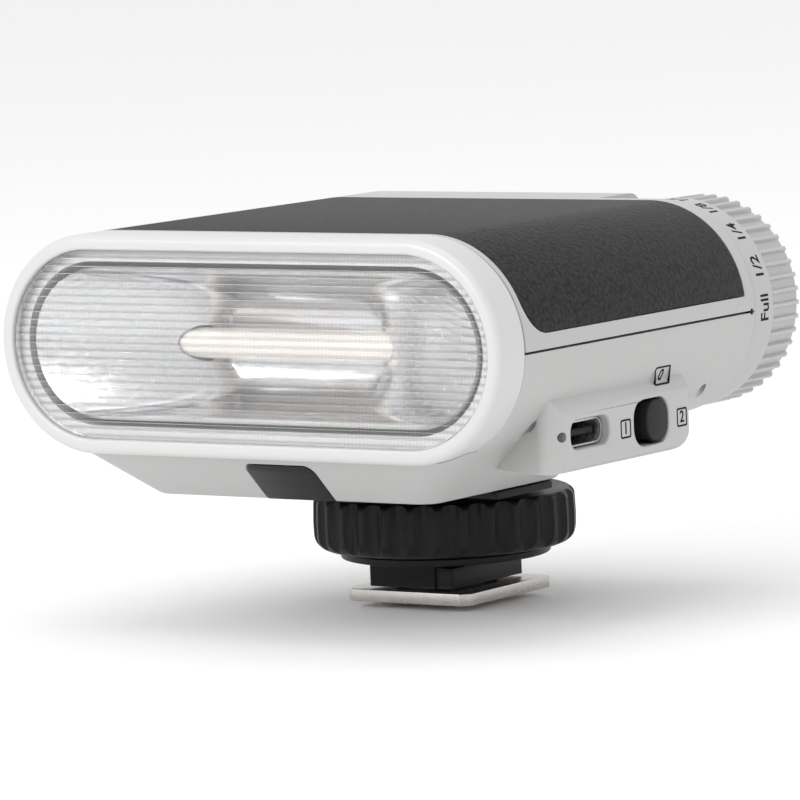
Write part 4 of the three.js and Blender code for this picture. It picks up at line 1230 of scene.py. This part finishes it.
def makeModeKnob():
    low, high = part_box("mode_knob")
    y, z = (low.y + high.y) / 2, (low.z + high.z) / 2
    capBack = consoleFaceX - knob["depth"] * mm
    outline = roundedSlot(y, z, high.y - low.y, high.z - low.z, knob["corner"] * mm)
    cap = prism("mode_knob_look", outline, "X", capBack, consoleFaceX - knob["setIn"] * mm)
    bevelEdges(cap, 0.22 * mm, 3, 50)
    side = knob["lever"] * mm
    lever = prism("lever", roundedSlot(y, z, side, side, 0.2 * mm), "X", low.x,
                  capBack + knob["overlap"] * mm)
    combine(cap, lever, "UNION")
    smooth(cap)
    settle(cap, knobPlastic, "knob", "black_plastic", "mode_knob")


# A black plug deep inside the seam dot's hole: painted shade for the dark inside of the hole.
def makeIndexDotShade():
    outline = circle((casing["dot"] - 0.04) * mm, casing["dotY"] * mm, seamZ, 20)
    dot = prism("index_dot_shade", outline, "X", endX + endRadius - 0.85 * mm,
                endX + endRadius - 0.12 * mm)
    bevelEdges(dot, 0.05 * mm, 2, 50)
    smooth(dot)
    settle(dot, inkBlack, "housing", "black_plastic")


def makeChargeLed():
    low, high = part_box("charge_led")
    radius = (high.y - low.y) / 2
    body = prism("charge_led_look", circle(radius, (low.y + high.y) / 2, (low.z + high.z) / 2, 24),
                 "X", low.x, high.x)
    bevelEdges(body, 0.3 * mm, 4, 50)
    smooth(body)
    settle(body, lampClear, "housing", "led_clear", "charge_led")


def makeSensorWindow():
    slab = prism("sensor_window_look", windowOutline(0), "Y", -far, window["back"] * mm)
    base = pedestal["low"] * mm
    combine(slab, pedestalSolid("outer", 0, base), "INTERSECT")
    combine(slab, pedestalSolid("core", window["thick"] * mm, base - mm), "DIFFERENCE")
    bevelEdges(slab, 0.08 * mm, 2, 50)
    smooth(slab)
    settle(slab, glossBlack, "housing", "window_black", "sensor_window")


makeMarks()
makeIndexDotShade()
makeSocket()
makeModeKnob()
makeChargeLed()
makeSensorWindow()
print("console ready")


# Rear button and lamp.
def makeRearControls():
    low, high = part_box("test_button")
    radius = (high.x - low.x) / 2 / mm
    length = (high.y - low.y) / mm
    collar = radius - rear["collar"]
    button = turned("test_button_look", [
        (0, 0), (radius, 0, 0.2), (radius, length - 2.8, 0.2), (collar, length - 2.8),
        (collar, length, 0.5), (collar - 0.9, length, 0.3), (collar - 1.3, length - 0.25, 0.3),
        (0, length - 0.25),
    ], ((low.x + high.x) / 2, low.y, axisZ), "Y", 56)
    smooth(button)
    settle(button, knobPlastic, "button", "black_plastic", "test_button")
    low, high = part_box("ready_led")
    radius = (high.x - low.x) / 2 / mm
    length = (high.y - low.y) / mm
    lamp = turned("ready_led_look", [
        (0, 0), (radius, 0, 0.1), (radius, length, 0.6), (0, length),
    ], ((low.x + high.x) / 2, low.y, axisZ), "Y", 32)
    smooth(lamp)
    settle(lamp, lampRed, "housing", "led_clear", "ready_led")


makeRearControls()
print("rear controls ready")

# Lock wheel and shoe mount.
wheel = {"flutes": 30, "depth": 0.85, "ridge": 0.17, "lowRound": 1.9, "topRound": 1.0,
         "barrel": 0.12, "bore": 11.3}
mount = {"stem": 11, "flangeFront": -18, "neckX": 6.2, "neckY": 8.3, "notchX": 3.8,
         "stemLow": 7.8, "edge": 0.15, "flange": 0.85, "overlap": 0.2, "clampSlack": 0.6,
         "screwHole": 1.2, "footScrewX": 3, "footScrewY": 5.6, "baseScrew": 5.5,
         "footHoleTop": 6, "baseHoleLow": 10, "well": 1.65, "wellTop": 9, "pinHole": 1.3}
foot = {"chamfer": 1.2, "corner": 0.25, "backCorner": 0.3, "headHole": 1.9, "headDepth": 1.1,
        "middleHole": 3.5}
signs = [(-1, -1), (-1, 1), (1, -1), (1, 1)]


def fluteOutline(radius):
    points = []
    pitch = tau / wheel["flutes"]
    ridge = wheel["ridge"]
    for flute in range(wheel["flutes"]):
        for share in (0.0, ridge):
            angle = (flute + share) * pitch
            points.append((radius * math.cos(angle), radius * math.sin(angle)))
        for k in range(1, 9):
            share = ridge + (1 - ridge) * k / 9
            low = radius - wheel["depth"] * mm * math.sin(math.pi * k / 9) ** 0.8
            angle = (flute + share) * pitch
            points.append((low * math.cos(angle), low * math.sin(angle)))
    return points


def makeWheel():
    low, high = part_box("lock_wheel")
    radius = (high.x - low.x) / 2
    height = (high.z - low.z) / mm
    body = prism("lock_wheel_look", fluteOutline(radius), "Z", low.z, high.z)
    out = radius / mm
    barrel = turned("barrel", [
        (0, 0), (out - wheel["barrel"], 0, wheel["lowRound"]), (out, height * 0.5),
        (out - wheel["barrel"], height, wheel["topRound"]), (0, height),
    ], (0, 0, low.z), "Z", 120)
    combine(body, barrel, "INTERSECT")
    combine(body, prism("bore", circle(wheel["bore"] * mm, 0, 0, 72), "Z", 0, far), "DIFFERENCE")
    bevelEdges(body, 0.1 * mm, 2, 34)
    smooth(body, 38)
    settle(body, blackPlastic, "wheel", "black_plastic", "lock_wheel")


def makeClamp():
    low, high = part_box("clamp_plate")
    radius = (high.x - low.x) / 2 / mm
    height = (high.z - low.z) / mm
    body = turned("clamp_plate_look", [
        (0, 0), (radius, 0, 0.3), (radius, height, 0.15), (0, height),
    ], (0, 0, low.z), "Z", 96)
    x = (mount["neckX"] + mount["clampSlack"]) * mm
    y = (mount["neckY"] + mount["clampSlack"]) * mm
    hole = rounded([(-x, -y, 0.5 * mm), (x, -y, 0.5 * mm), (x, y, 0.5 * mm), (-x, y, 0.5 * mm)])
    combine(body, prism("hole", hole, "Z", 0, far), "DIFFERENCE")
    smooth(body)
    settle(body, blackPlastic, "clamp", "black_plastic", "clamp_plate")


def makeMountBase():
    low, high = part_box("mount_base")
    flangeLow = high.z - mount["flange"] * mm
    body = prism("mount_base_look", pedestalPlan(0.4 * mm), "Z", flangeLow, high.z)
    front = rectangle(-far, mount["flangeFront"] * mm, far, far)
    combine(body, prism("front", front, "Z", 0, far), "INTERSECT")
    stemHeight = (flangeLow - mount["stemLow"] * mm) / mm + mount["overlap"]
    stem = turned("stem", [
        (0, 0), (mount["stem"], 0, 0.3), (mount["stem"], stemHeight), (0, stemHeight),
    ], (0, 0, mount["stemLow"] * mm), "Z", 72)
    combine(body, stem, "UNION")
    x, y, notch = mount["neckX"] * mm, mount["neckY"] * mm, mount["notchX"] * mm
    neckTop = (mount["stemLow"] + mount["overlap"]) * mm
    neck = prism("neck", rounded([(-x, -y, 0.5 * mm), (notch, -y, 0.15 * mm),
                                  (notch, y, 0.15 * mm), (-x, y, 0.5 * mm)]), "Z", low.z, neckTop)
    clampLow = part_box("clamp_plate")[0].z
    y -= 0.4 * mm
    step = prism("step", rounded([(notch - mm, -y), (x, -y, 0.3 * mm), (x, y, 0.3 * mm),
                                  (notch - mm, y)]), "Z", low.z, clampLow - 0.75 * mm)
    combine(neck, step, "UNION")
    combine(neck, prism("round", circle((mount["stem"] - 0.3) * mm, 0, 0, 72), "Z", 0, far),
            "INTERSECT")
    combine(body, neck, "UNION")
    screwHole = mount["screwHole"] * mm
    for sx, sy in signs:
        hole = circle(screwHole, sx * mount["footScrewX"] * mm, sy * mount["footScrewY"] * mm, 24)
        combine(body, prism("hole", hole, "Z", 0, mount["footHoleTop"] * mm), "DIFFERENCE")
        hole = circle(screwHole, sx * mount["baseScrew"] * mm, sy * mount["baseScrew"] * mm, 24)
        combine(body, prism("hole", hole, "Z", mount["baseHoleLow"] * mm, far), "DIFFERENCE")
    well = circle(mount["well"] * mm, 0, 0, 24)
    combine(body, prism("well", well, "Z", 0, mount["wellTop"] * mm), "DIFFERENCE")
    well = circle(mount["pinHole"] * mm, 0, 0, 24)
    combine(body, prism("well", well, "Z", 0, far), "DIFFERENCE")
    bevelEdges(body, mount["edge"] * mm, 2, 50)
    smooth(body)
    settle(body, blackPlastic, "housing", "black_plastic", "mount_base")


def makeFoot():
    low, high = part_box("foot_plate")
    x, y, chamfer = high.x, high.y, foot["chamfer"] * mm
    front, back = foot["corner"] * mm, foot["backCorner"] * mm
    outline = rounded([
        (-x + chamfer, low.y, front), (x - chamfer, low.y, front), (x, low.y + chamfer, front),
        (x, y, back), (-x, y, back), (-x, low.y + chamfer, front),
    ], 4)
    body = prism("foot_plate_look", outline, "Z", low.z, high.z)
    bevelEdges(body, 0.13 * mm, 3, 50)
    headTop = low.z + foot["headDepth"] * mm
    for sx, sy in signs:
        for radius, top in ((mount["screwHole"], far), (foot["headHole"], headTop)):
            hole = circle(radius * mm, sx * mount["footScrewX"] * mm,
                          sy * mount["footScrewY"] * mm, 32)
            combine(body, prism("hole", hole, "Z", -mm, top), "DIFFERENCE")
    hole = circle(foot["middleHole"] * mm, 0, 0, 48)
    combine(body, prism("hole", hole, "Z", -mm, far), "DIFFERENCE")
    smooth(body)
    settle(body, nickelPlate, "housing", "nickel", "foot_plate")
    low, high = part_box("contact_insulator")
    height = (high.z - low.z) / mm
    ring = turned("contact_insulator_look", [
        (1.3, 0, 0.15), (3.2, 0, 0.25), (3.2, height, 0.1), (1.3, height, 0.1),
    ], (0, 0, low.z), "Z", 56, True)
    smooth(ring)
    settle(ring, blackPlastic, "housing", "black_plastic", "contact_insulator")
    low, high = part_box("contact_pin")
    length = (high.z - low.z) / mm
    pin = turned("contact_pin_look", [
        (0, 0), (0.55, 0, 0.3), (1, 0.45, 0.3), (1, 2.75), (1.35, 2.75, 0.08), (1.35, 4.4, 0.08),
        (0.6, 4.4), (0.6, length, 0.2), (0, length),
    ], (0, 0, low.z), "Z", 40)
    smooth(pin)
    settle(pin, goldContact, "pin", "contact_brass", "contact_pin")


screw = {"heads": {"case": 1.5, "foot": 0.8, "mount": 1.4}, "dome": 0.35, "thread": 0.9,
         "root": 0.72, "tip": 0.7, "pitch": 0.5, "slotLong": 1.1, "slotWide": 0.28, "slotDeep": 0.5}


# Screws with a domed head and a crossed slot.
def makeScrew(node, down):
    low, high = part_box(node)
    centre = ((low.x + high.x) / 2, (low.y + high.y) / 2, low.z)
    length = (high.z - low.z) / mm
    radius = (high.x - low.x) / 2 / mm
    head = screw["heads"][node.split("_")[0]]
    thread, pitch = screw["thread"], screw["pitch"]
    section = [(0, 0), (radius, 0, screw["dome"]), (radius, head, 0.1), (thread, head)]
    turns = int((length - head) / pitch)
    for k in range(turns):
        start = head + 0.1 + k * pitch
        section += [(screw["root"], start + 0.12), (thread, start + 0.36)]
    section += [(screw["tip"], length), (0, length)]
    if down:
        section = [(item[0], length - item[1], *item[2:]) for item in reversed(section)]
    body = turned(node + "_look", section, centre, "Z", 28)
    start = low.z if not down else high.z
    depth = screw["slotDeep"] * mm
    for wide, deep in ((screw["slotLong"], screw["slotWide"]), (screw["slotWide"], screw["slotLong"])):
        cross = rectangle(-wide, -deep, wide, deep)
        outline = [(centre[0] + px * mm, centre[1] + py * mm) for px, py in cross]
        combine(body, prism("slot", outline, "Z", start - depth, start + depth), "DIFFERENCE")
    smooth(body)
    settle(body, plainSteel, "housing", "steel", node)


makeWheel()
makeClamp()
print("lock wheel ready")
makeMountBase()
makeFoot()
for index in range(1, 5):
    makeScrew(f"foot_screw_{index}", False)
    makeScrew(f"case_screw_{index}", False)
    makeScrew(f"mount_screw_{index}", True)
print("shoe mount ready")

# Materials for the CAD nodes that stay.
looks = {
    "photo_sensor": glossBlack, "test_switch": plainSteel, "rear_board": boardGreen,
    "mode_switch": knobPlastic, "side_board": boardGreen, "main_board": boardGreen,
    "flash_capacitor": sleeveBlack, "battery_cell": foilSilver,
    "charging_transformer": tapeBrown, "trigger_coil": copperWire,
    "flash_transistor": knobPlastic, "dial_shaft": plainSteel, "rotary_switch": knobPlastic,
    "contact_spring": plainSteel,
}
for nodeName, material in looks.items():
    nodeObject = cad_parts[nodeName]
    nodeObject.data.materials.clear()
    nodeObject.data.materials.append(material)
